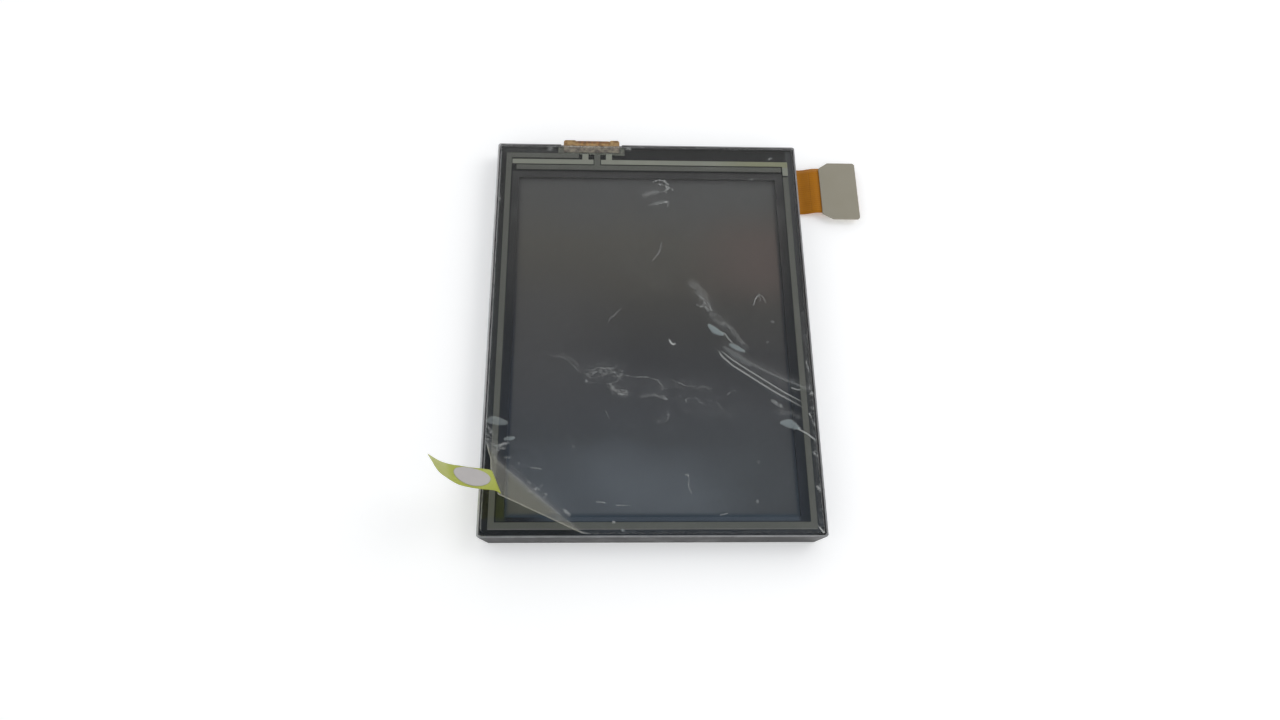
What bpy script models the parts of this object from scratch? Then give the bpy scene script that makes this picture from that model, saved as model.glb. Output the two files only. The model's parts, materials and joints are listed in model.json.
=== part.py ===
"""A 3.5 inch transflective colour LCD module of a pocket computer, with its resistive touch panel.

Units: dimensions are in millimetres and are scaled to metres when a mesh is made.
Frame: origin at the centre of the rear face, +X to the right of the screen, +Y to its top edge and
+Z out of the screen. A peelable corner of the protective film stands up with its pull tab, and the
flex tail leaves through the right wall.
"""

import math

import bmesh
import bpy
from mathutils import Matrix, Vector

MM = 0.001

# Outline of the module
WIDTH = 64.0
LENGTH = 85.0
LEFT = -WIDTH / 2
RIGHT = WIDTH / 2
TOP = LENGTH / 2
BOTTOM = -LENGTH / 2

# Stamped rear shield
SHEET = 0.25
WALL = 0.3
RIM_HEIGHT = 4.9
TOP_CORNER = 0.35
LOWER_FACET = 1.7
LOWER_FACET_AT_RIM = 0.3
POCKET_DEPTH = 0.55
POCKET_LENGTH = 18.5
POCKET_SIDE = 3.0
BEND_SLOT_WIDTH = 33.0
BEND_SLOT_LENGTH = 2.9
LATCH_SLOTS_FROM_LEFT = (11.0, 14.6, 53.0)
LATCH_SLOT = (0.7, 0.4)
LATCH_SLOT_HEIGHT = 1.2

# Heights of the layers: rear face and front face of each
WEB = (0.28, 0.81)
RING_BASE = 0.83
REFLECTOR = (0.83, 0.93)
LIGHT_GUIDE = (0.95, 1.60)
LOWER_DIFFUSER = (1.62, 1.70)
PRISM_SHEET = (1.72, 1.84)
UPPER_DIFFUSER = (1.86, 1.94)
CELL_STEP = 1.95
REAR_POLARIZER = (1.96, 2.10)
TFT_GLASS = (2.12, 2.55)
COLOUR_GLASS = (2.58, 3.01)
FRONT_POLARIZER = (3.03, 3.17)
RING_TOP = 3.15
GASKET = (3.20, 3.90)
TOUCH_GLASS = (3.93, 4.60)
LOWER_INK = (4.62, 4.64)
SPACER = (4.66, 4.71)
UPPER_INK = (4.73, 4.75)
TOUCH_FILM = (4.77, 4.92)
COVER_FILM = (4.94, 5.00)

# Insets of the layers from the outline: left, right, top, bottom
RING_INSET = (0.55, 0.55, 0.55, 0.55)
GUIDE_OPENING_INSET = (3.6, 3.6, 5.0, 2.4)
CELL_OPENING_INSET = (3.0, 3.0, 3.0, 1.8)
SHEET_INSET = (3.8, 3.8, 5.2, 4.4)
TFT_INSET = (3.2, 3.2, 3.2, 2.0)
COLOUR_INSET = (3.2, 3.2, 6.4, 2.0)
FRONT_POLARIZER_INSET = (3.6, 3.6, 6.8, 2.4)
REAR_POLARIZER_INSET = (3.7, 3.7, 4.0, 2.5)
GASKET_INSET = (0.5, 0.5, 0.5, 0.5)
WINDOW_INSET = (4.7, 4.6, 7.7, 3.9)
TOUCH_INSET = (0.42, 0.42, 0.42, 0.42)
FILM_INSET = (0.6, 0.6, 0.6, 0.6)
SPACER_WINDOW_INSET = (4.2, 4.2, 7.2, 3.4)
TOUCH_CORNER = 0.6
RING_CORNER = 2.6

# Printed silver conductors of the touch panel, measured from the left and top edges
INK_WIDTH = 1.15
OUTER_TRACE_LEFT = 1.9
OUTER_TRACE_RIGHT = 1.8
OUTER_TRACE_TOP = 2.15
OUTER_TRACE_BOTTOM = 1.45
OUTER_TRACE_BOTTOM_WIDTH = 1.35
OUTER_TRACE_START = 17.3
OUTER_TRACE_RIGHT_TOP = 7.5
BRIGHT_TRACE_TOP = 3.78
BRIGHT_TRACE_LEFT = 3.2
BRIGHT_TRACE_END = 7.2
BRIGHT_LEGS = (18.7, 23.75)
INNER_TRACE_TOP = 5.12
INNER_TRACE_LEFT = 4.1
INNER_TRACE_RIGHT = 3.2
INNER_LEG = 21.25
LEG_TOP = 2.35
LEG_WIDTH = 1.3

# Flex of the touch panel, at the top edge
TOUCH_FLEX_LEFT = 14.0
TOUCH_FLEX_WIDTH = 12.0
TOUCH_FLEX_INSIDE = 1.9
TOUCH_FLEX_OUTSIDE = 1.2
TOUCH_FLEX_THICKNESS = 0.08
TOUCH_FLEX_HEIGHT = 4.69
TONGUE_LEFT = 17.0
TONGUE_WIDTH = 6.6
TONGUE_RUN = 1.2
TONGUE_RADIUS = 0.4
TONGUE_LOW = 0.31
TONGUE_END = 5.0
PAD_MARGIN = 1.1

# Protective film, its peeled corner and the pull tab
CREASE_UP = 15.8
CREASE_ALONG = 18.7
PEEL_ANGLE = math.radians(61.0)
CREASE_GAP = 0.12
TAB_WIDTH = 7.0
TAB_UP = 1.1
TAB_CORNER = 4.0
TAB_ROOT = 3.6
TAB_FREE = 11.6
TAB_THICKNESS = 0.1
TAB_BELOW_FILM = 0.02
TAB_DROOP = 2.4
TAB_DROOP_LENGTH = 9.2
TAB_GAP = 0.15
STICKER_RADIUS = 3.15
STICKER_CENTRE = 3.6
STICKER_UP = 0.3
STICKER_THICKNESS = 0.05

# Main flex, its tail and the connector head
FLEX_THICKNESS = 0.1
BOND_WIDTH = 31.0
BOND_TOP = 3.3
BOND_BOTTOM = 4.4
BOND_HEIGHT = 2.62
BEND_CENTRE = 2.3
FLEX_LOW = 0.43
FLEX_BODY_TOP = 2.3
FLEX_BODY_BOTTOM = 17.0
FLEX_BODY_SIDE = 5.0
TAIL_TOP = 2.9
TAIL_WIDTH = 11.2
TAIL_FOLD = 65.3
TAIL_FOLD_HEIGHT = -0.1
FLEX_END = 64.95
RIBBON_START = 65.55
RIBBON_END = 69.35
HEAD_HINGE = 69.55
HEAD_START = 69.75
HEAD_END = 77.5
HEAD_HEIGHT = 1.20
STIFFENER = (1.28, 1.60)
STIFFENER_LEFT = 69.8
STIFFENER_RIGHT = 77.85
STIFFENER_TOP = 1.65
STIFFENER_BOTTOM = 15.8
CONNECTOR = (0.05, 1.12)
CONNECTOR_LEFT = 71.7
CONNECTOR_WIDTH = 4.2
CONNECTOR_LENGTH = 12.4
CONTACT_PITCH = 0.5
CONTACTS_PER_ROW = 22
CONTACT_WIDTH = 0.2
CONTACT_REACH = 0.55

# Driver chip, light bar and rear tape
DRIVER_CHIP = (18.0, 1.3, 0.3)
DRIVER_CHIP_TOP = 4.75
LIGHT_COUNT = 6
LIGHT_SIZE = (2.6, 1.0, 0.58)
LIGHT_PITCH = 9.0
LIGHT_TOP = 80.75
LIGHT_STRIP = (0.95, 1.00)
REAR_TAPE = (0.08, 0.16)
REAR_TAPE_INSET = (9.0, 15.0, 6.0, 68.5)


def material(name, colour, roughness, metallic=0.0):
    """A Principled BSDF material."""
    made = bpy.data.materials.new(name)
    made.use_nodes = True
    shader = made.node_tree.nodes["Principled BSDF"]
    shader.inputs["Base Color"].default_value = (*colour, 1.0)
    shader.inputs["Roughness"].default_value = roughness
    shader.inputs["Metallic"].default_value = metallic
    return made


def from_left(distance):
    """The x of a line that far from the left edge of the module."""
    return LEFT + distance


def from_top(distance):
    """The y of a line that far below the top edge of the module."""
    return TOP - distance


def inset_box(inset):
    """The x and y limits left inside the outline by insets from left, right, top and bottom."""
    left, right, top, bottom = inset
    return LEFT + left, RIGHT - right, BOTTOM + bottom, TOP - top


def rectangle(x0, x1, y0, y1):
    """Corners of a rectangle, anticlockwise."""
    return [(x0, y0), (x1, y0), (x1, y1), (x0, y1)]


def chamfered(x0, x1, y0, y1, lower, upper):
    """A rectangle with its two lower and two upper corners cut off, anticlockwise."""
    return [
        (x0 + lower, y0),
        (x1 - lower, y0),
        (x1, y0 + lower),
        (x1, y1 - upper),
        (x1 - upper, y1),
        (x0 + upper, y1),
        (x0, y1 - upper),
        (x0, y0 + lower),
    ]


def add_object(name, vertices, faces, look, pivot=(0.0, 0.0, 0.0)):
    """Makes a closed mesh object from millimetre points, with its origin at the pivot."""
    centre = Vector(pivot)
    mesh = bpy.data.meshes.new(name)
    scaled = [(Vector(point) - centre) * MM for point in vertices]
    mesh.from_pydata(scaled, [], faces)
    shape = bmesh.new()
    shape.from_mesh(mesh)
    bmesh.ops.recalc_face_normals(shape, faces=shape.faces)
    shape.to_mesh(mesh)
    shape.free()
    mesh.materials.append(look)
    made = bpy.data.objects.new(name, mesh)
    made.location = centre * MM
    bpy.context.scene.collection.objects.link(made)
    return made


def loft(name, loops, look, closed=False, pivot=(0.0, 0.0, 0.0)):
    """Joins equal loops of points in order. It caps both ends, or joins the last loop to the first."""
    count = len(loops[0])
    vertices = [point for loop in loops for point in loop]
    faces = []
    spans = len(loops) if closed else len(loops) - 1
    for row in range(spans):
        near = row * count
        far = (row + 1) % len(loops) * count
        for corner in range(count):
            after = (corner + 1) % count
            faces.append((near + corner, near + after, far + after, far + corner))
    if not closed:
        last = (len(loops) - 1) * count
        faces.append(tuple(range(count)))
        faces.append(tuple(range(last, last + count)))
    return add_object(name, vertices, faces, look, pivot)


def at_height(outline, height):
    """Lifts a flat outline to a height."""
    return [(x, y, height) for x, y in outline]


def prism(name, outline, heights, look, pivot=(0.0, 0.0, 0.0)):
    """A plate of a given outline between two heights."""
    loops = [at_height(outline, height) for height in heights]
    return loft(name, loops, look, pivot=pivot)


def block(name, limits, heights, look, pivot=(0.0, 0.0, 0.0)):
    """A rectangular plate."""
    return prism(name, rectangle(*limits), heights, look, pivot)


def frame_plate(name, outer, inner, heights, look):
    """A flat frame between two outlines that have the same number of corners."""
    low, high = heights
    loops = [
        at_height(outer, low),
        at_height(outer, high),
        at_height(inner, high),
        at_height(inner, low),
    ]
    return loft(name, loops, look, closed=True)


def strip(name, centres, side, widths, thickness, look, pivot=(0.0, 0.0, 0.0)):
    """A thin sheet that follows a line of centres. Each width is (left, right) of the line."""
    loops = []
    across = Vector(side)
    for index, centre in enumerate(centres):
        before = Vector(centres[max(index - 1, 0)])
        after = Vector(centres[min(index + 1, len(centres) - 1)])
        normal = (after - before).normalized().cross(across)
        lift = normal * thickness / 2
        left, right = widths[index]
        middle = Vector(centre)
        loops.append(
            [
                middle - across * left - lift,
                middle + across * right - lift,
                middle + across * right + lift,
                middle - across * left + lift,
            ]
        )
    return loft(name, loops, look, pivot=pivot)


def combine(target, tools, operation):
    """Cuts or joins tools with the target, and removes the tools."""
    for tool in tools:
        modifier = target.modifiers.new(tool.name, "BOOLEAN")
        modifier.operation = operation
        modifier.solver = "EXACT"
        modifier.object = tool
    graph = bpy.context.evaluated_depsgraph_get()
    shaped = bpy.data.meshes.new_from_object(target.evaluated_get(graph))
    target.modifiers.clear()
    target.data = shaped
    for tool in tools:
        bpy.data.objects.remove(tool, do_unlink=True)


def arc(centre, radius, start, end, steps):
    """Points of an arc in a plane, with angles in degrees."""
    points = []
    for step in range(steps + 1):
        angle = math.radians(start + (end - start) * step / steps)
        points.append((centre[0] + radius * math.cos(angle), centre[1] + radius * math.sin(angle)))
    return points


def make_rear_shield(look):
    """The stamped pan: slanted lower corners, rear pocket, flex slots and latch slots."""
    inner = (LEFT + WALL, RIGHT - WALL, BOTTOM + WALL, TOP - WALL)
    outer = (LEFT, RIGHT, BOTTOM, TOP)
    rim_facet = LOWER_FACET_AT_RIM
    loops = [
        at_height(chamfered(*outer, LOWER_FACET, TOP_CORNER), 0.0),
        at_height(chamfered(*outer, rim_facet, TOP_CORNER), RIM_HEIGHT),
        at_height(chamfered(*inner, rim_facet, TOP_CORNER), RIM_HEIGHT),
        at_height(chamfered(*inner, LOWER_FACET, TOP_CORNER), SHEET),
    ]
    shield = loft("rear_shield", loops, look)
    pocket_left = from_left(POCKET_SIDE)
    pocket_bottom = from_top(WALL + POCKET_LENGTH)
    raised_limits = (pocket_left - SHEET, RIGHT - WALL / 2, pocket_bottom - SHEET, TOP - WALL / 2)
    raised = block("raised", raised_limits, (SHEET / 2, POCKET_DEPTH + SHEET), look)
    combine(shield, [raised], "UNION")
    pocket_limits = (pocket_left, RIGHT - WALL, pocket_bottom, TOP - WALL)
    pocket = block("pocket", pocket_limits, (-1.0, POCKET_DEPTH), look)
    slot_limits = (
        -BEND_SLOT_WIDTH / 2,
        BEND_SLOT_WIDTH / 2,
        from_top(WALL + BEND_SLOT_LENGTH),
        TOP - WALL,
    )
    bend_slot = block("bend_slot", slot_limits, (-1.0, 1.0), look)
    tail_limits = (RIGHT - 0.8, RIGHT + 1.0, from_top(TAIL_TOP + TAIL_WIDTH + 0.6), from_top(2.3))
    tail_notch = block("tail_notch", tail_limits, (-1.0, POCKET_DEPTH), look)
    flex_left = from_left(TOUCH_FLEX_LEFT)
    upper_limits = (flex_left - 0.5, flex_left + TOUCH_FLEX_WIDTH + 0.5, TOP - 0.6, TOP + 1.0)
    upper_notch = block("upper_notch", upper_limits, (4.55, 6.0), look)
    tongue_left = from_left(TONGUE_LEFT)
    lower_limits = (tongue_left - 0.4, tongue_left + TONGUE_WIDTH + 0.4, TOP - 0.6, TOP + 1.0)
    lower_notch = block("lower_notch", lower_limits, (-1.0, POCKET_DEPTH), look)
    cuts = [pocket, bend_slot, tail_notch, upper_notch, lower_notch]
    slot_width, slot_height = LATCH_SLOT
    for number, distance in enumerate(LATCH_SLOTS_FROM_LEFT):
        middle = from_left(distance)
        limits = (middle - slot_width / 2, middle + slot_width / 2, BOTTOM - 1.0, BOTTOM + 0.7)
        heights = (LATCH_SLOT_HEIGHT, LATCH_SLOT_HEIGHT + slot_height)
        cuts.append(block(f"latch_slot_{number}", limits, heights, look))
    combine(shield, cuts, "DIFFERENCE")
    return shield


def make_mould_frame(look):
    """The plastic frame: a ring that seats the cell, and a web under the light guide."""
    ring_outline = chamfered(*inset_box(RING_INSET), RING_CORNER, 0.4)
    ring = prism("mould_frame", ring_outline, (RING_BASE, RING_TOP), look)
    web_inset = (1.2, 1.2, WALL + POCKET_LENGTH + 1.0, 1.4)
    web_outline = chamfered(*inset_box(web_inset), RING_CORNER, 0.4)
    web = prism("web", web_outline, (WEB[0], RING_BASE + 0.2), look)
    combine(ring, [web], "UNION")
    guide_opening = block("guide_opening", inset_box(GUIDE_OPENING_INSET), (WEB[1], 4.0), look)
    cell_opening = block("cell_opening", inset_box(CELL_OPENING_INSET), (CELL_STEP, 4.0), look)
    bend_limits = (-BEND_SLOT_WIDTH / 2, BEND_SLOT_WIDTH / 2, from_top(4.0), TOP)
    bend_opening = block("bend_opening", bend_limits, (0.5, 4.0), look)
    combine(ring, [guide_opening, cell_opening, bend_opening], "DIFFERENCE")
    return ring


def make_layers(looks):
    """The flat sheets and plates of the backlight, the cell and the touch panel."""
    layers = [
        ("reflector_sheet", SHEET_INSET, REFLECTOR, "reflector"),
        ("light_guide", SHEET_INSET, LIGHT_GUIDE, "light_guide"),
        ("lower_diffuser", SHEET_INSET, LOWER_DIFFUSER, "diffuser"),
        ("prism_sheet", SHEET_INSET, PRISM_SHEET, "prism"),
        ("upper_diffuser", SHEET_INSET, UPPER_DIFFUSER, "diffuser"),
        ("rear_polarizer", REAR_POLARIZER_INSET, REAR_POLARIZER, "polarizer"),
        ("tft_glass", TFT_INSET, TFT_GLASS, "cell_glass"),
        ("colour_filter_glass", COLOUR_INSET, COLOUR_GLASS, "cell_glass"),
        ("front_polarizer", FRONT_POLARIZER_INSET, FRONT_POLARIZER, "polarizer"),
    ]
    for name, inset, heights, look in layers:
        block(name, inset_box(inset), heights, looks[look])
    touch_outline = chamfered(*inset_box(TOUCH_INSET), TOUCH_CORNER, 0.1)
    prism("touch_glass", touch_outline, TOUCH_GLASS, looks["touch_glass"])
    prism("touch_film", touch_outline, TOUCH_FILM, looks["touch_film"])


def make_frames(looks):
    """The black gasket and the clear spacer frame, which has a gate for the touch flex."""
    outer = chamfered(*inset_box(GASKET_INSET), 1.2, 0.2)
    inner = chamfered(*inset_box(WINDOW_INSET), 0.2, 0.2)
    frame_plate("gasket_frame", outer, inner, GASKET, looks["gasket"])
    outer = chamfered(*inset_box(TOUCH_INSET), TOUCH_CORNER, 0.1)
    inner = chamfered(*inset_box(SPACER_WINDOW_INSET), 0.2, 0.2)
    spacer = frame_plate("spacer_frame", outer, inner, SPACER, looks["spacer"])
    left = from_left(TOUCH_FLEX_LEFT)
    gate_limits = (
        left - PAD_MARGIN - 0.3,
        left + TOUCH_FLEX_WIDTH + PAD_MARGIN + 0.3,
        from_top(TOUCH_FLEX_INSIDE + 0.8),
        TOP + 1.0,
    )
    gate = block("gate", gate_limits, (4.0, 5.0), looks["spacer"])
    combine(spacer, [gate], "DIFFERENCE")


def make_traces(looks):
    """The printed silver conductors: two circuits on the glass and one under the film."""
    ink = INK_WIDTH
    left = from_left(OUTER_TRACE_LEFT)
    right = RIGHT - OUTER_TRACE_RIGHT
    top = from_top(OUTER_TRACE_TOP)
    bottom = BOTTOM + OUTER_TRACE_BOTTOM
    start = from_left(OUTER_TRACE_START)
    right_top = from_top(OUTER_TRACE_RIGHT_TOP)
    outline = [
        (start, top),
        (left, top),
        (left, bottom),
        (right, bottom),
        (right, right_top),
        (right - ink, right_top),
        (right - ink, bottom + OUTER_TRACE_BOTTOM_WIDTH),
        (left + ink, bottom + OUTER_TRACE_BOTTOM_WIDTH),
        (left + ink, top - ink),
        (start, top - ink),
    ]
    prism("outer_glass_trace", outline, LOWER_INK, looks["dim_silver"])

    left = from_left(INNER_TRACE_LEFT)
    right = RIGHT - INNER_TRACE_RIGHT
    top = from_top(INNER_TRACE_TOP)
    leg_left = from_left(INNER_LEG) - LEG_WIDTH / 2
    leg_right = leg_left + LEG_WIDTH
    leg_top = from_top(LEG_TOP)
    outline = [
        (left, top),
        (left, top - ink),
        (right, top - ink),
        (right, top),
        (leg_right, top),
        (leg_right, leg_top),
        (leg_left, leg_top),
        (leg_left, top),
    ]
    prism("inner_glass_trace", outline, LOWER_INK, looks["dim_silver"])

    top = from_top(BRIGHT_TRACE_TOP)
    gap_left = leg_left - 0.15
    gap_right = leg_right + 0.15
    first_leg = from_left(BRIGHT_LEGS[0])
    half = LEG_WIDTH / 2
    outline = [
        (gap_left, top),
        (first_leg + half, top),
        (first_leg + half, leg_top),
        (first_leg - half, leg_top),
        (first_leg - half, top),
        (from_left(BRIGHT_TRACE_LEFT), top),
        (from_left(BRIGHT_TRACE_LEFT), top - ink),
        (gap_left, top - ink),
    ]
    prism("film_trace_left", outline, UPPER_INK, looks["bright_silver"])

    second_leg = from_left(BRIGHT_LEGS[1])
    right = RIGHT - OUTER_TRACE_RIGHT
    end = from_top(BRIGHT_TRACE_END)
    outline = [
        (gap_right, top - ink),
        (right - ink, top - ink),
        (right - ink, end),
        (right, end),
        (right, top),
        (second_leg + half, top),
        (second_leg + half, leg_top),
        (second_leg - half, leg_top),
        (second_leg - half, top),
        (gap_right, top),
    ]
    prism("film_trace_right", outline, UPPER_INK, looks["bright_silver"])


def make_touch_flex(looks):
    """The touch panel's flex: a head under the film and a tongue that loops over the top edge."""
    left = from_left(TOUCH_FLEX_LEFT)
    right = left + TOUCH_FLEX_WIDTH
    low = TOUCH_FLEX_HEIGHT - TOUCH_FLEX_THICKNESS / 2
    high = TOUCH_FLEX_HEIGHT + TOUCH_FLEX_THICKNESS / 2
    tongue_left = from_left(TONGUE_LEFT)
    tongue_right = tongue_left + TONGUE_WIDTH
    inside = from_top(TOUCH_FLEX_INSIDE)
    ear = TOP + TOUCH_FLEX_OUTSIDE
    shoulder = ear - 0.2
    cut = 0.35
    outline = [
        (left, inside),
        (right, inside),
        (right, ear - cut),
        (right - cut, ear),
        (tongue_right + 0.2 + cut, ear),
        (tongue_right + 0.2, ear - cut),
        (tongue_right + 0.2, shoulder),
        (tongue_left - 0.2, shoulder),
        (tongue_left - 0.2, ear - cut),
        (tongue_left - 0.2 - cut, ear),
        (left + cut, ear),
        (left, ear - cut),
    ]
    head = prism("touch_flex", outline, (low, high), looks["touch_flex"])
    radius = TONGUE_RADIUS
    run = TOP + TONGUE_RUN - radius
    path = [(TOP - 0.4, TOUCH_FLEX_HEIGHT)]
    path += arc((run, TOUCH_FLEX_HEIGHT - radius), radius, 90, 0, 6)
    path += arc((run, TONGUE_LOW + radius), radius, 0, -90, 6)
    path.append((from_top(TONGUE_END), TONGUE_LOW))
    middle = (tongue_left + tongue_right) / 2
    centres = [(middle, y, z) for y, z in path]
    widths = [(TONGUE_WIDTH / 2, TONGUE_WIDTH / 2)] * len(centres)
    thickness = TOUCH_FLEX_THICKNESS
    tongue = strip("tongue", centres, (1.0, 0.0, 0.0), widths, thickness, looks["touch_flex"])
    combine(head, [tongue], "UNION")


def make_film(looks):
    """The protective film, without the corner that is peeled up."""
    x0, x1, y0, y1 = inset_box(FILM_INSET)
    up, along = CREASE_UP, CREASE_ALONG
    outline = [(x0 + along, y0), (x1, y0), (x1, y1), (x0, y1), (x0, y0 + up)]
    prism("protective_film", outline, COVER_FILM, looks["cover_film"])


def crease_ends():
    """The two ends of the film's crease: on the left edge and on the bottom edge."""
    x0, _, y0, _ = inset_box(FILM_INSET)
    height = (COVER_FILM[0] + COVER_FILM[1]) / 2
    return Vector((x0, y0 + CREASE_UP, height)), Vector((x0 + CREASE_ALONG, y0, height))


def tab_height(distance):
    """Height of the tab's middle over its root, at a distance beyond the film's edge."""
    share = 1.0 - distance / TAB_DROOP_LENGTH
    return -TAB_DROOP * (1.0 - share * share)


def make_peeled_corner(looks):
    """The film corner with the tab's root glued under it, and the free tab with its sticker.

    The pieces are laid out flat and turned up about the crease by their parent empty.
    """
    left_end, bottom_end = crease_ends()
    peel = bpy.data.objects.new("film_peel_axis", None)
    bpy.context.scene.collection.objects.link(peel)
    peel.location = left_end * MM
    x0, _, y0, _ = inset_box(FILM_INSET)
    along_crease = (bottom_end - left_end).normalized()
    inward = Vector((along_crease.y, -along_crease.x, 0.0))
    if inward.dot(Vector((x0, y0, left_end.z)) - left_end) < 0:
        inward = -inward
    step = CREASE_GAP / abs(inward.y)
    stride = CREASE_GAP / abs(inward.x)
    outline = [
        (x0, y0),
        (x0 + CREASE_ALONG - stride, y0),
        (x0, y0 + CREASE_UP - step),
    ]
    flap = prism("film_corner_flap", outline, COVER_FILM, looks["cover_film"], left_end)

    tab_low = y0 + TAB_UP
    tab_high = tab_low + TAB_WIDTH
    root_top = COVER_FILM[0] - TAB_BELOW_FILM
    root_heights = (root_top - TAB_THICKNESS, root_top)
    root_limits = (x0 + 0.05, x0 + TAB_ROOT, tab_low, tab_high)
    root = block("pull_tab_root", root_limits, root_heights, looks["tab"], left_end)

    tab_axis = bpy.data.objects.new("tab_axis", None)
    bpy.context.scene.collection.objects.link(tab_axis)
    hinge = Vector((x0, y0, root_top - TAB_THICKNESS / 2))
    middle = (tab_low + tab_high) / 2
    distances = [TAB_GAP + (TAB_FREE - TAB_GAP) * step / 16 for step in range(17)]
    centres = []
    widths = []
    for distance in distances:
        centres.append((x0 - distance, middle, hinge.z + tab_height(distance)))
        past = max(0.0, distance - (TAB_FREE - TAB_CORNER)) / TAB_CORNER
        trim = TAB_CORNER * (1.0 - math.sqrt(1.0 - 0.99 * past * past))
        widths.append((TAB_WIDTH / 2 - trim, TAB_WIDTH / 2 - trim * 0.1))
    side = (0.0, 1.0, 0.0)
    tab = strip("pull_tab", centres, side, widths, TAB_THICKNESS, looks["tab"], hinge)

    first = STICKER_CENTRE - STICKER_RADIUS
    centres = []
    widths = []
    lift = TAB_THICKNESS / 2 + 0.02 + STICKER_THICKNESS / 2
    for step in range(21):
        turn = math.pi * (0.05 + 0.9 * step / 20)
        distance = first + STICKER_RADIUS * (1.0 - math.cos(turn))
        slope = -2.0 * TAB_DROOP / TAB_DROOP_LENGTH * (1.0 - distance / TAB_DROOP_LENGTH)
        tilt = math.atan(slope)
        x = x0 - distance + lift * math.sin(tilt)
        z = hinge.z + tab_height(distance) + lift * math.cos(tilt)
        centres.append((x, middle + STICKER_UP, z))
        half = STICKER_RADIUS * math.sin(turn)
        widths.append((half, half))
    sticker = strip(
        "round_sticker", centres, side, widths, STICKER_THICKNESS, looks["sticker"], hinge
    )

    for child in (flap, root):
        child.parent = peel
        child.location = (0.0, 0.0, 0.0)
    tab_axis.parent = peel
    tab_axis.location = (hinge - left_end) * MM
    for child in (tab, sticker):
        child.parent = tab_axis
        child.location = (0.0, 0.0, 0.0)
    turn = Matrix.Rotation(PEEL_ANGLE, 4, -along_crease)
    peel.rotation_mode = "QUATERNION"
    peel.rotation_quaternion = turn.to_quaternion()


def make_main_flex(looks):
    """The main flex: bonded to the cell, bent round its top edge and spread in the rear pocket."""
    side = FLEX_BODY_SIDE
    low = FLEX_LOW - FLEX_THICKNESS / 2
    high = FLEX_LOW + FLEX_THICKNESS / 2
    tail_top = from_top(TAIL_TOP)
    tail_bottom = tail_top - TAIL_WIDTH
    body_bottom = from_top(FLEX_BODY_BOTTOM)
    body_top = from_top(FLEX_BODY_TOP + 1.6)
    neck_top = from_top(FLEX_BODY_TOP)
    neck = BOND_WIDTH / 2
    outline = [
        (LEFT + side, body_bottom),
        (RIGHT - side - 1.0, body_bottom),
        (RIGHT - side, tail_bottom),
        (from_left(FLEX_END), tail_bottom),
        (from_left(FLEX_END), tail_top),
        (RIGHT - side, tail_top),
        (RIGHT - side - 1.0, body_top),
        (neck, body_top),
        (neck, neck_top),
        (-neck, neck_top),
        (-neck, body_top),
        (LEFT + side, body_top),
    ]
    body = prism("main_flex", outline, (low, high), looks["flex"])
    radius = (BOND_HEIGHT - FLEX_LOW) / 2
    centre = (from_top(BEND_CENTRE), (BOND_HEIGHT + FLEX_LOW) / 2)
    path = [(from_top(BOND_BOTTOM), BOND_HEIGHT)]
    path += arc(centre, radius, 90, -90, 12)
    path.append((from_top(FLEX_BODY_TOP + 1.0), FLEX_LOW))
    centres = [(0.0, y, z) for y, z in path]
    widths = [(neck, neck)] * len(centres)
    bend = strip("bend", centres, (1.0, 0.0, 0.0), widths, FLEX_THICKNESS, looks["flex"])
    combine(body, [bend], "UNION")


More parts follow.
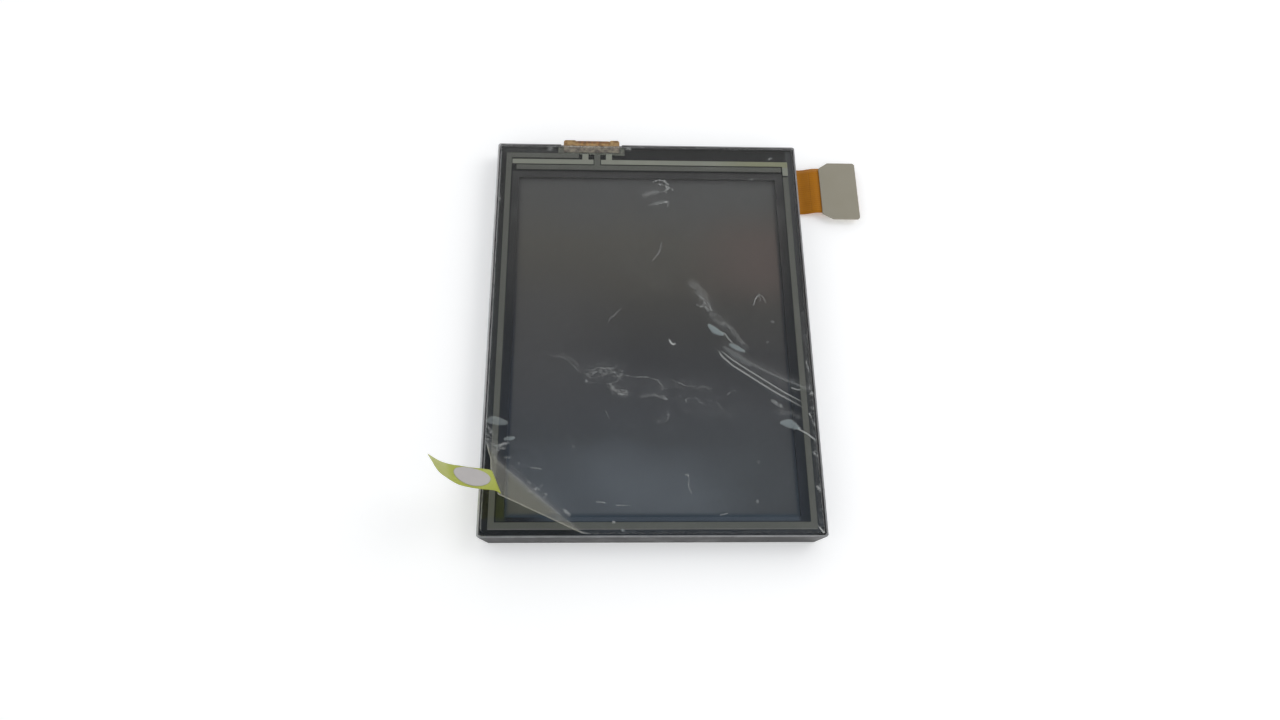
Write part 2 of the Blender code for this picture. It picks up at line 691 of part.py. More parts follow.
def make_tail(looks):
    """The tail that folds beside the right wall, and its stiffened connector head."""
    fold = bpy.data.objects.new("tail_fold_axis", None)
    bend = bpy.data.objects.new("head_bend_axis", None)
    for empty in (fold, bend):
        bpy.context.scene.collection.objects.link(empty)
    middle = from_top(TAIL_TOP + TAIL_WIDTH / 2)
    fold_at = Vector((from_left(TAIL_FOLD), middle, TAIL_FOLD_HEIGHT))
    bend_at = Vector((from_left(HEAD_HINGE), middle, HEAD_HEIGHT))
    start = from_left(RIBBON_START)
    end = from_left(RIBBON_END)
    centres = []
    for step in range(13):
        share = step / 12
        rise = share * share * (3.0 - 2.0 * share)
        x = start + (end - start) * share
        centres.append((x, middle, FLEX_LOW + (HEAD_HEIGHT - FLEX_LOW) * rise))
    widths = [(TAIL_WIDTH / 2, TAIL_WIDTH / 2)] * len(centres)
    side = (0.0, 1.0, 0.0)
    ribbon = strip("flex_ribbon", centres, side, widths, FLEX_THICKNESS, looks["flex"], fold_at)

    half = FLEX_THICKNESS / 2
    head_limits = (
        from_left(HEAD_START),
        from_left(HEAD_END),
        middle - TAIL_WIDTH / 2,
        middle + TAIL_WIDTH / 2,
    )
    head_heights = (HEAD_HEIGHT - half, HEAD_HEIGHT + half)
    head = block("head_flex", head_limits, head_heights, looks["flex"], bend_at)

    x0 = from_left(STIFFENER_LEFT)
    x1 = from_left(STIFFENER_RIGHT)
    y0 = from_top(STIFFENER_BOTTOM)
    y1 = from_top(STIFFENER_TOP)
    outline = [
        (x0 + 2.3, y0),
        (x1 - 0.4, y0),
        (x1, y0 + 0.4),
        (x1, y1 - 0.4),
        (x1 - 0.4, y1),
        (x0 + 2.0, y1),
        (x0 + 0.3, y1 - 1.2),
        (x0, y1 - 1.5),
        (x0, y0 + 1.3),
    ]
    stiffener = prism("flex_stiffener", outline, STIFFENER, looks["stiffener"], bend_at)

    centre_x = from_left(CONNECTOR_LEFT + CONNECTOR_WIDTH / 2)
    limits = (
        centre_x - CONNECTOR_WIDTH / 2,
        centre_x + CONNECTOR_WIDTH / 2,
        middle - CONNECTOR_LENGTH / 2,
        middle + CONNECTOR_LENGTH / 2,
    )
    housing = block("connector_housing", limits, CONNECTOR, looks["connector"], bend_at)
    mouth_limits = (centre_x - 1.1, centre_x + 1.1, limits[2] + 0.9, limits[3] - 0.9)
    mouth = block("mouth", mouth_limits, (-1.0, 0.75), looks["connector"])
    combine(housing, [mouth], "DIFFERENCE")

    rows = [
        make_contact_row("contact_row_inner", centre_x - CONNECTOR_WIDTH / 2, -1.0, bend_at, looks),
        make_contact_row("contact_row_outer", centre_x + CONNECTOR_WIDTH / 2, 1.0, bend_at, looks),
    ]
    fold.location = fold_at * MM
    ribbon.parent = fold
    ribbon.location = (0.0, 0.0, 0.0)
    bend.parent = fold
    bend.location = (bend_at - fold_at) * MM
    for child in (head, stiffener, housing, *rows):
        child.parent = bend
        child.location = (0.0, 0.0, 0.0)


def make_contact_row(name, wall_x, direction, pivot, looks):
    """One row of solder tails beside the connector, joined by a thin carrier."""
    middle = from_top(TAIL_TOP + TAIL_WIDTH / 2)
    reach = CONTACT_REACH * direction
    near = wall_x + 0.05 * direction
    carrier = near + 0.12 * direction
    low = HEAD_HEIGHT - FLEX_THICKNESS / 2 - 0.17
    high = low + 0.14
    first = middle - CONTACT_PITCH * (CONTACTS_PER_ROW - 1) / 2
    outline = [(near, first - CONTACT_WIDTH / 2)]
    for number in range(CONTACTS_PER_ROW):
        centre = first + number * CONTACT_PITCH
        outline.append((carrier, centre - CONTACT_WIDTH / 2))
        outline.append((wall_x + reach, centre - CONTACT_WIDTH / 2))
        outline.append((wall_x + reach, centre + CONTACT_WIDTH / 2))
        outline.append((carrier, centre + CONTACT_WIDTH / 2))
    last = first + CONTACT_PITCH * (CONTACTS_PER_ROW - 1)
    outline.append((near, last + CONTACT_WIDTH / 2))
    return prism(name, outline, (low, high), looks["contact"], pivot)


def make_small_parts(looks):
    """The driver chip, the light bar below the light guide and the tape over the rear pocket."""
    width, depth, height = DRIVER_CHIP
    chip_top = from_top(DRIVER_CHIP_TOP)
    limits = (-width / 2, width / 2, chip_top - depth, chip_top)
    heights = (TFT_GLASS[1] + 0.02, TFT_GLASS[1] + 0.02 + height)
    block("driver_chip", limits, heights, looks["chip"])

    width, depth, height = LIGHT_SIZE
    light_top = from_top(LIGHT_TOP)
    span = LIGHT_PITCH * (LIGHT_COUNT - 1) + width + 2.0
    limits = (-span / 2, span / 2, light_top - depth - 0.4, light_top)
    block("light_strip_flex", limits, LIGHT_STRIP, looks["flex"])
    base = LIGHT_STRIP[1] + 0.02
    for number in range(LIGHT_COUNT):
        centre = LIGHT_PITCH * (number - (LIGHT_COUNT - 1) / 2)
        limits = (centre - width / 2, centre + width / 2, light_top - depth, light_top - 0.05)
        block(f"light_{number + 1}", limits, (base, base + height), looks["light"])

    block("rear_tape", inset_box(REAR_TAPE_INSET), REAR_TAPE, looks["tape"])

    left = from_left(TOUCH_FLEX_LEFT) - PAD_MARGIN
    right = left + TOUCH_FLEX_WIDTH + 2 * PAD_MARGIN
    outline = [
        (left, from_top(0.65)),
        (left, from_top(TOUCH_FLEX_INSIDE + 0.35)),
        (right, from_top(TOUCH_FLEX_INSIDE + 0.7)),
        (right, from_top(0.65)),
    ]
    prism("flex_bond_film", outline, (4.62, 4.63), looks["bond_film"])


def make_looks():
    """The materials of the module."""
    return {
        "steel": material("steel", (0.55, 0.55, 0.54), 0.38, 1.0),
        "mould": material("mould", (0.78, 0.78, 0.75), 0.55),
        "reflector": material("reflector", (0.85, 0.86, 0.88), 0.2, 0.6),
        "light_guide": material("light_guide", (0.80, 0.84, 0.84), 0.1),
        "diffuser": material("diffuser", (0.88, 0.88, 0.86), 0.5),
        "prism": material("prism", (0.75, 0.78, 0.80), 0.2),
        "polarizer": material("polarizer", (0.10, 0.10, 0.10), 0.3),
        "cell_glass": material("cell_glass", (0.30, 0.34, 0.34), 0.05),
        "gasket": material("gasket", (0.02, 0.02, 0.02), 0.7),
        "touch_glass": material("touch_glass", (0.25, 0.28, 0.27), 0.05),
        "dim_silver": material("dim_silver", (0.12, 0.12, 0.10), 0.5, 0.3),
        "bright_silver": material("bright_silver", (0.25, 0.26, 0.21), 0.45, 0.4),
        "spacer": material("spacer", (0.10, 0.10, 0.10), 0.4),
        "touch_film": material("touch_film", (0.20, 0.21, 0.21), 0.2),
        "bond_film": material("bond_film", (0.35, 0.36, 0.34), 0.5),
        "touch_flex": material("touch_flex", (0.40, 0.24, 0.08), 0.4),
        "flex": material("flex", (0.35, 0.13, 0.01), 0.35),
        "cover_film": material("cover_film", (0.16, 0.16, 0.13), 0.15),
        "tab": material("tab", (0.45, 0.50, 0.07), 0.5),
        "sticker": material("sticker", (0.60, 0.58, 0.58), 0.6),
        "stiffener": material("stiffener", (0.29, 0.27, 0.22), 0.5),
        "connector": material("connector", (0.72, 0.69, 0.60), 0.5),
        "contact": material("contact", (0.70, 0.55, 0.25), 0.3, 1.0),
        "chip": material("chip", (0.04, 0.04, 0.05), 0.3),
        "light": material("light", (0.85, 0.84, 0.75), 0.4),
        "tape": material("tape", (0.03, 0.03, 0.03), 0.5),
    }


def main():
    for existing in list(bpy.context.scene.objects):
        bpy.data.objects.remove(existing, do_unlink=True)
    looks = make_looks()
    make_rear_shield(looks["steel"])
    make_mould_frame(looks["mould"])
    make_layers(looks)
    make_frames(looks)
    make_traces(looks)
    make_touch_flex(looks)
    make_film(looks)
    make_peeled_corner(looks)
    make_main_flex(looks)
    make_tail(looks)
    make_small_parts(looks)


main()
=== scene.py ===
"""Looks for a 3.5 inch display module of a pocket computer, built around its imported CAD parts.

Lengths are in millimetres until a mesh is made. The frame is the CAD's: the origin is at the centre of
the rear face, +X is to the right of the screen, +Y to its top edge and +Z out of the screen.
"""

import json
import math

import bpy
import numpy as np
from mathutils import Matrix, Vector


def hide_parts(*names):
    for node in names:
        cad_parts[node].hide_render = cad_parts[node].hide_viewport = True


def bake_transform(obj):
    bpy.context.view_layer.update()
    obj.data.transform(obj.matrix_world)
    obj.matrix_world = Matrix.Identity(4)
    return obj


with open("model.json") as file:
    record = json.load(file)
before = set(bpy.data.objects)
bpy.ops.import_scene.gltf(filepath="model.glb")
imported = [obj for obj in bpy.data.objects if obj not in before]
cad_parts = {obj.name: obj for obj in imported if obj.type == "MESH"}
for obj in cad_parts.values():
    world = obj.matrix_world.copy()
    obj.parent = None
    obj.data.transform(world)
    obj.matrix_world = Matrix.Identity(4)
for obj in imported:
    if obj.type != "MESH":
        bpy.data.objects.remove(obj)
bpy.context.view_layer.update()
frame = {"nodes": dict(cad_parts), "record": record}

MM = 0.001

# Camera
LENS = 26.046
SENSOR_WIDTH = 36.0
CAMERA_PLACE = (-9.44, -77.33, 171.66)
CAMERA_TURN = (22.643, -2.260, -0.627)
# How near and how far the camera sees, in metres
CAMERA_RANGE = (0.01, 20.0)

# Studio
FLOOR_SIZE = 3000.0
FLOOR_GAP = 0.04
FLOOR_GLOW = 0.20
SOFTBOX_FROM = (0.75, 0.25, 0.85)
SOFTBOX_DISTANCE = 520.0
SOFTBOX_SIZE = 260.0
SOFTBOX_POWER = 0.45
WORLD_STRENGTH = 1.22
# The sky's colour from the horizon and below (0) to straight up (1)
SKY = (
    (0.0, (0.98, 0.98, 0.98)),
    (0.5, (1.0, 1.0, 1.0)),
    (0.78, (0.46, 0.46, 0.46)),
    (0.90, (0.34, 0.35, 0.36)),
    (1.0, (0.20, 0.26, 0.33)),
)
# How many clear surfaces a ray may pass: both faces of each sheet over the screen, with some to spare
CLEAR_SURFACES = 24

# The tray's left and top edges, and its front wall's slots: places from the left edge, and their height
LEFT, TOP = -32.0, 42.5
LATCH_SLOTS = (11.0, 14.6, 53.0)
LATCH_SLOT_HEIGHT = 1.4

# Rounding of the CAD parts: how near corners are joined, and which edges count as sharp
WELD_REACH = 0.0005
SHARP_ANGLE = math.radians(30.0)

# Areas that materials colour, as x0, x1, y0, y1: the screen's active area, and the border's inner part
SCREEN_AREA = (-27.3, 27.4, -38.3, 34.6)
BORDER_LIP = (-28.9, 29.2, -39.5, 36.4)
# The part of the touch flex that turns over the rim, from x0 to x1
TOUCH_TONGUE = (-16.2, -7.4)

# Pitches of repeating grain
TRACK_PITCH = 0.5
TOUCH_TRACK_PITCH = 1.1
WEAVE_PITCH = 0.55

# Protective film
FILM_LEFT, FILM_RIGHT = -31.4, 31.4
FILM_BOTTOM, FILM_TOP = -41.9, 41.9
FILM_MIDDLE = 4.97
FILM_THICKNESS = 0.05
FILM_STEP = 0.25

# The film's crease: two points of it, how far it is turned up, and its bend radius at both ends
CREASE_START = (-31.4, -26.1)
CREASE_END = (-12.7, -41.9)
PEEL_ANGLE = math.radians(61.0)
CREASE_RADIUS = (3.0, 0.8)
EDGE_CURL = math.radians(30.0)
EDGE_CURL_RUN = 5.2
EDGE_TRIM = 0.25

# Pull tab: distances are measured from the film's left edge outwards, and from its bottom edge upwards
TAB_ROOT_UPPER, TAB_ROOT_LOWER = -0.35, -0.85
TAB_END = 11.6
TAB_LIFT = 0.09
TAB_THICKNESS = 0.1
TAB_DROOP = 2.4
TAB_DROOP_LENGTH = 9.2
# The distances over which the tab's slope is summed, and in how many samples
TAB_SLOPE_RANGE = (-1.0, 13.0)
TAB_SLOPE_SAMPLES = 561
TAB_UPPER_EDGE = ((-1.0, 7.8), (0.0, 8.0), (1.7, 8.4), (5.2, 8.3), (7.3, 7.7), (9.1, 7.35), (11.6, 7.6))
TAB_LOWER_EDGE = (
    (-1.0, 0.5), (0.2, 0.9), (1.4, 1.1), (6.3, 1.25),
    (8.5, 2.2), (9.7, 2.6), (10.6, 3.7), (11.6, 7.45),
)
TAB_EDGE_SAMPLES = 120
TAB_EDGE_SMOOTHING = 13
TAB_COLUMNS, TAB_ROWS = 17, 64
# The tab's free end bows across its width, from this distance on
TAB_WIDTH = 8.0
TAB_BOW = 0.25
TAB_BOW_FROM = 5.0
LABEL_CENTRE = (3.6, 4.9)
LABEL_RADIUS = 3.15
LABEL_SIDES = 72
LABEL_RINGS = (0.02, 0.25, 0.5, 0.75, 0.92, 1.0)
LABEL_THICKNESS = 0.06
LABEL_GAP = 0.01

# Flex tail
FLEX_THICKNESS = 0.1
TAIL_CENTRE_Y = 34.0
TAIL_WIDTH = 11.2
TAIL_START, TAIL_SPLIT, TAIL_END = 32.95, 35.6, 45.5
TAIL_LOW, TAIL_HIGH = 0.43, 1.20
TAIL_RISE = (33.5, 37.0)
TAIL_ROWS = 13
TAIL_INNER_STEPS, TAIL_OUTER_STEPS = 40, 90


def rgb(red, green, blue):
    """The linear colour of an 8-bit display colour."""
    channels = []
    for level in (red, green, blue):
        share = level / 255
        channels.append(share / 12.92 if share <= 0.04045 else ((share + 0.055) / 1.055) ** 2.4)
    return tuple(channels)


def grey(level):
    return rgb(level, level, level)


def fill_ramp(node, stops):
    """Gives a colour ramp node its (position, colour) stops."""
    elements = node.color_ramp.elements
    while len(elements) < len(stops):
        elements.new(0.5)
    for element, (position, colour) in zip(elements, stops):
        element.position = position
        element.color = (*colour, 1.0)


# ---- Materials ----


class Look:
    """One procedural material, with a short call for each kind of node. Positions are in millimetres."""

    def __init__(self, name, attribute=None):
        self.material = bpy.data.materials.new(name)
        self.material.use_nodes = True
        self.tree = self.material.node_tree
        self.tree.nodes.clear()
        if attribute:
            self.place = self.node("Attribute", attribute_name=attribute).outputs["Vector"]
        else:
            metres = self.node("TexCoord").outputs["Object"]
            scaled = self.node("VectorMath", {0: metres, "Scale": 1 / MM}, operation="SCALE")
            self.place = scaled.outputs[0]
        split = self.node("SeparateXYZ", {0: self.place})
        self.x, self.y, self.z = split.outputs

    def node(self, kind, inputs=None, **settings):
        """Adds a shader node, and sets or links its inputs."""
        made = self.tree.nodes.new("ShaderNode" + kind)
        for name, value in settings.items():
            setattr(made, name, value)
        for key, value in (inputs or {}).items():
            self.feed(made.inputs[key], value)
        return made

    def feed(self, socket, value):
        if isinstance(value, bpy.types.NodeSocket):
            self.tree.links.new(value, socket)
        elif isinstance(value, tuple) and len(value) == 3 and socket.type == "RGBA":
            socket.default_value = (*value, 1.0)
        else:
            socket.default_value = value

    def math(self, operation, first, second=0.0, clamp=False):
        made = self.node("Math", {0: first, 1: second}, operation=operation, use_clamp=clamp)
        return made.outputs[0]

    def times(self, product, *factors):
        """The product of two or more values."""
        for factor in factors:
            product = self.math("MULTIPLY", product, factor)
        return product

    def ease(self, value, low, high, start=0.0, end=1.0):
        """A smooth step from start to end while the value goes from low to high."""
        inputs = {"Value": value, "From Min": low, "From Max": high, "To Min": start, "To Max": end}
        return self.node("MapRange", inputs, interpolation_type="SMOOTHSTEP").outputs[0]

    def spread(self, noise, start=0.0, end=1.0):
        """Stretches the busy middle of a noise to run from start to end."""
        return self.ease(noise, 0.3, 0.7, start, end)

    def ripple(self, place, pitch):
        """A sine wave from -1 to 1 along one direction."""
        return self.math("SINE", self.times(place, 2 * math.pi / pitch))

    def noise(self, size, detail=3.0, roughness=0.55, distortion=0.0, stretch=None):
        """Cloudy noise from 0 to 1 with features of about the given size. Stretch makes it run one way."""
        place = self.place
        if stretch:
            place = self.node("VectorMath", {0: place, 1: stretch}, operation="MULTIPLY").outputs[0]
        inputs = {
            "Vector": place,
            "Scale": 1 / size,
            "Detail": detail,
            "Roughness": roughness,
            "Distortion": distortion,
        }
        return self.node("TexNoise", inputs).outputs[0]

    def cells(self, size):
        """The distance to the nearest of many scattered points, in steps of the given size."""
        return self.node("TexVoronoi", {"Vector": self.place, "Scale": 1 / size}).outputs["Distance"]

    def mix(self, factor, first, second):
        """A colour between two colours."""
        made = self.node("Mix", data_type="RGBA")
        for index, value in ((0, factor), (6, first), (7, second)):
            self.feed(made.inputs[index], value)
        return made.outputs[2]

    def ramp(self, value, *stops):
        """A colour ramp of (position, colour) stops."""
        made = self.node("ValToRGB", {0: value})
        fill_ramp(made, stops)
        return made.outputs[0]

    def inside(self, box, soft):
        """1 inside a rectangle of x0, x1, y0, y1 and 0 outside, with soft sides."""
        x0, x1, y0, y1 = box
        across = self.times(self.ease(self.x, x0, x0 + soft), self.ease(self.x, x1, x1 - soft))
        along = self.times(self.ease(self.y, y0, y0 + soft), self.ease(self.y, y1, y1 - soft))
        return self.times(across, along)

    def past_crease(self):
        """How far a place is past the film's crease, towards the corner that is turned up."""
        start, _, outward, _ = crease_frame()
        by_x = self.times(self.math("SUBTRACT", self.x, start[0]), outward[0])
        by_y = self.times(self.math("SUBTRACT", self.y, start[1]), outward[1])
        return self.math("ADD", by_x, by_y)

    def worn_edge(self, radius, strength=6.0):
        """1 on convex edges and corners, 0 on flat faces, broken up by noise."""
        rounded = self.node("Bevel", {"Radius": radius * MM}, samples=4).outputs[0]
        normal = self.node("NewGeometry").outputs["Normal"]
        dot = self.node("VectorMath", {0: rounded, 1: normal}, operation="DOT_PRODUCT")
        turned = self.math("SUBTRACT", 1.0, dot.outputs["Value"])
        patches = self.ease(self.noise(1.6, 4.0), 0.38, 0.62, 0.25, 1.0)
        raised = self.math("MULTIPLY", turned, strength, clamp=True)
        return self.math("MULTIPLY", raised, patches, clamp=True)

    def bump(self, height, strength, distance=0.05):
        inputs = {"Height": height, "Strength": strength, "Distance": distance * MM}
        return self.node("Bump", inputs).outputs[0]

    def solid(self, colour, roughness, metallic=0.0, normal=None, extra=None):
        """An opaque surface."""
        inputs = {"Base Color": colour, "Roughness": roughness, "Metallic": metallic}
        if normal:
            inputs["Normal"] = normal
        inputs.update(extra or {})
        return self.node("BsdfPrincipled", inputs).outputs[0]

    def grained(self, colour, grain, smoothest, roughest, relief, metallic=0.0, depth=0.05):
        """A finished opaque material whose roughness and relief follow one noise."""
        roughness = self.spread(grain, smoothest, roughest)
        return self.done(self.solid(colour, roughness, metallic, self.bump(grain, relief, depth)))

    def blend(self, factor, first, second):
        """A mix of two shaders."""
        return self.node("MixShader", {0: factor, 1: first, 2: second}).outputs[0]

    def clear(self, veil, veil_colour, ior, roughness, normal=None):
        """A clear sheet. It lets light straight through, mirrors by its index and scatters by its veil."""
        white = (1.0, 1.0, 1.0)
        through = self.node("BsdfTransparent", {0: white}).outputs[0]
        mirror_inputs = {"Roughness": roughness, "Color": white}
        fresnel_inputs = {"IOR": ior}
        if normal:
            mirror_inputs["Normal"] = normal
            fresnel_inputs["Normal"] = normal
        mirror = self.node("BsdfAnisotropic", mirror_inputs).outputs[0]
        fresnel = self.node("Fresnel", fresnel_inputs).outputs[0]
        inner = self.node("NewGeometry").outputs["Backfacing"]
        fresnel = self.times(fresnel, self.math("SUBTRACT", 1.0, inner))
        scatter = self.node("BsdfDiffuse", {0: veil_colour}).outputs[0]
        sheet = self.blend(veil, through, scatter)
        return self.blend(fresnel, sheet, mirror)

    def done(self, shader):
        output = self.node("OutputMaterial")
        self.tree.links.new(shader, output.inputs[0])
        return self.material


def steel_look():
    """Thin plated sheet: dull, cloudy and stained, with worn edges that also carry a painted highlight,
    painted shade on the front wall and in its slots, a painted highlight on the left wall and left rim, and
    painted shade on the right rim.
    """
    look = Look("steel")
    cloud = look.noise(7.0, 5.0)
    rolling = look.noise(0.35, 3.0, stretch=(0.12, 1.0, 1.0))
    stain = look.ease(look.noise(2.2, 6.0, 0.7), 0.62, 0.72)
    facing = look.node("NewGeometry").outputs["Normal"]
    facing_x, facing_y, facing_z = look.node("SeparateXYZ", {0: facing}).outputs
    # front marks the front wall; it is painted darker below, as painted shade
    front = look.ease(facing_y, -0.5, -0.9)
    # inner marks the left wall's face turned to +X; it is painted near white below, as a painted highlight
    inner = look.times(look.ease(facing_x, 0.5, 0.9), look.ease(look.x, -30.0, -31.0))
    upward = look.ease(facing_z, 0.5, 0.9)
    side = look.mix(cloud, grey(128), grey(150))
    side = look.mix(front, side, look.mix(cloud, grey(54), grey(68)))
    side = look.mix(inner, side, grey(235))
    # upward faces take a slightly lighter rim grey (painted light from above), lighter still at the left
    # rim (painted highlight) and darker at the right rim (painted shade)
    rim = look.mix(cloud, grey(132), grey(157))
    rim = look.mix(look.ease(look.x, -31.0, -31.8), rim, grey(190))
    rim = look.mix(look.ease(look.x, 31.0, 31.8), rim, grey(136))
    colour = look.mix(upward, side, rim)
    colour = look.mix(look.times(stain, 0.5), colour, grey(70))
    # edges painted light: partly wear, partly a painted highlight along the rim lines
    colour = look.mix(look.worn_edge(0.14), colour, grey(215))
    grime = look.ease(look.noise(0.8, 5.0, 0.75), 0.58, 0.66, 0.0, 0.3)
    colour = look.mix(grime, colour, grey(38))
    # painted shade in the latch slots of the front wall
    slots = 0.0
    for place in LATCH_SLOTS:
        aside = look.math("ABSOLUTE", look.math("SUBTRACT", look.x, LEFT + place))
        slots = look.math("MAXIMUM", slots, look.ease(aside, 0.8, 0.35))
    from_middle = look.math("ABSOLUTE", look.math("SUBTRACT", look.z, LATCH_SLOT_HEIGHT))
    slots = look.times(slots, front, look.ease(from_middle, 0.5, 0.2))
    colour = look.mix(slots, colour, grey(14))
    bare = look.math("SUBTRACT", 1.0, slots)
    dull = {"Specular IOR Level": look.times(bare, 0.5)}
    roughness = look.spread(cloud, 0.36, 0.54)
    normal = look.bump(rolling, 0.22, 0.02)
    return look.done(look.solid(colour, roughness, look.times(bare, 0.72), normal, dull))


def mould_look():
    """White moulded plastic with a fine spark-eroded grain, and painted shade on its outer front wall
    behind the steel's slots.
    """
    look = Look("mould")
    grain = look.noise(0.12, 2.0)
    cloud = look.noise(9.0, 3.0)
    colour = look.mix(cloud, rgb(214, 213, 206), rgb(228, 227, 221))
    colour = look.mix(look.worn_edge(0.2, 4.0), colour, grey(238))
    # painted shade: the outer front wall behind the slots is painted dark grey
    colour = look.mix(look.ease(look.y, -41.7, -41.85), colour, grey(30))
    return look.grained(colour, grain, 0.45, 0.62, 0.2)


def reflector_look():
    """Silvered film with a faint pearl mottle."""
    look = Look("reflector")
    mottle = look.noise(1.5, 5.0)
    colour = look.mix(mottle, grey(225), rgb(238, 240, 243))
    return look.grained(colour, mottle, 0.16, 0.3, 0.1, metallic=0.7)


def light_guide_look():
    """Clear acrylic with rows of small printed dots."""
    look = Look("light_guide")
    dots = look.ease(look.cells(0.6), 0.30, 0.22)
    shine = look.noise(12.0, 2.0)
    colour = look.mix(dots, rgb(226, 232, 232), grey(250))
    roughness = look.math("MAXIMUM", look.times(dots, 0.6), look.ease(shine, 0.2, 0.8, 0.06, 0.14))
    return look.done(look.solid(colour, roughness, 0.0, look.bump(dots, 0.3)))


def diffuser_look():
    """Frosted white sheet."""
    look = Look("diffuser")
    frost = look.noise(0.08, 2.0, 0.7)
    colour = look.mix(look.noise(8.0), grey(232), grey(240))
    return look.grained(colour, frost, 0.5, 0.68, 0.25)


def prism_look():
    """Clear sheet with fine parallel prisms."""
    look = Look("prism")
    inputs = {"Vector": look.place, "Scale": 2.2, "Distortion": 0.4}
    ridges = look.node("TexWave", inputs, bands_direction="Y").outputs[1]
    colour = look.mix(ridges, rgb(214, 219, 222), rgb(236, 239, 241))
    roughness = look.ease(ridges, 0.0, 1.0, 0.14, 0.26)
    return look.done(look.solid(colour, roughness, 0.0, look.bump(ridges, 0.5)))


def polarizer_look():
    """Neutral grey film with a satin face."""
    look = Look("polarizer")
    satin = look.noise(0.2, 3.0)
    colour = look.mix(look.noise(14.0), grey(58), grey(66))
    return look.grained(colour, satin, 0.26, 0.36, 0.05)


def screen_look():
    """The front of the cell: a switched-off transflective screen with a dark margin.

    Its grey is a painted reflection of the studio: warmer towards the top, with a faint red cast at the
    right, and bluer towards the bottom. It carries painted shade near the turned-up corner and a lighter
    olive painted reflection past the crease. The dark margin is its own, with the same painted reflection
    over it.
    """
    look = Look("screen")
    # painted reflection: the grey below stands in for the studio's reflection, warmer towards the top and
    # bluer towards the bottom
    drift = look.times(look.math("SUBTRACT", look.noise(22.0, 2.0), 0.5), 0.12)
    share = look.math("ADD", look.ease(look.y, -38.0, 35.5), drift, clamp=True)
    reflected_tone = look.ramp(
        share,
        (0.0, (0.104, 0.116, 0.130)),
        (0.10, (0.058, 0.061, 0.067)),
        (0.20, (0.054, 0.055, 0.060)),
        (0.41, (0.040, 0.0395, 0.041)),
        (0.62, (0.055, 0.052, 0.047)),
        (0.72, (0.068, 0.063, 0.054)),
        (0.89, (0.082, 0.077, 0.067)),
        (1.0, (0.082, 0.082, 0.081)),
    )
    # painted reflection: a faint red cast at the right
    red_reflection_x = look.ease(look.x, 4.0, 24.0)
    red_reflection_y = look.times(look.ease(look.y, 2.0, 14.0), look.ease(look.y, 30.0, 18.0))
    red_reflection = look.times(red_reflection_x, red_reflection_y, 0.75)
    reflected_tone = look.mix(red_reflection, reflected_tone, (0.104, 0.076, 0.068))
    # painted reflection: a paler patch at the left and a darker patch at the lower right
    pale = look.times(look.ease(look.y, -22.0, -6.0), look.ease(look.y, 18.0, 4.0))
    pale = look.times(pale, look.ease(look.x, 0.0, -22.0), 0.6)
    reflected_tone = look.mix(pale, reflected_tone, (0.074, 0.072, 0.073))
    deep = look.times(look.ease(look.x, 4.0, 22.0), look.ease(look.y, -14.0, -32.0))
    reflected_tone = look.mix(look.times(deep, 0.8), reflected_tone, (0.048, 0.051, 0.055))
    # painted shade near the turned-up corner; past the crease, where the film is turned up, the bare screen
    # gets a lighter olive grey with a painted reflection of the raised flap and tab
    past = look.past_crease()
    shaded = look.times(look.ease(past, -14.0, -3.0), look.ease(past, 0.5, -1.0, 0.0, 0.35))
    reflected_tone = look.mix(shaded, reflected_tone, (0.045, 0.048, 0.056))
    reflected_tone = look.mix(look.ease(past, -0.5, 1.0), reflected_tone, (0.086, 0.087, 0.071))
    margin = look.inside(SCREEN_AREA, 0.9)
    # the margin is the cell's own dark border; its lighter top and bluer bottom are the same painted
    # reflection, and its top is painted lighter against the shade of the gasket's wall
    edge = look.ramp(
        share,
        (0.0, (0.034, 0.050, 0.068)),
        (0.10, (0.018, 0.026, 0.040)),
        (0.5, (0.010, 0.014, 0.022)),
        (0.92, (0.054, 0.051, 0.049)),
        (0.97, (0.070, 0.069, 0.068)),
        (1.0, (0.080, 0.079, 0.079)),
    )
    colour = look.mix(margin, edge, reflected_tone)
    haze = look.noise(5.0, 3.0)
    colour = look.mix(look.times(haze, 0.05), colour, grey(70))
    roughness = look.spread(haze, 0.38, 0.46)
    return look.done(look.solid(colour, roughness, 0.0, None, {"Specular IOR Level": 0.12}))


def cell_glass_look():
    """Dark thin glass with a green cast at its edges."""
    look = Look("cell_glass")
    colour = look.mix(look.noise(10.0), rgb(84, 90, 90), rgb(96, 102, 100))
    colour = look.mix(look.worn_edge(0.1, 4.0), colour, rgb(150, 170, 160))
    return look.done(look.solid(colour, look.spread(look.noise(3.0, 4.0), 0.04, 0.12)))


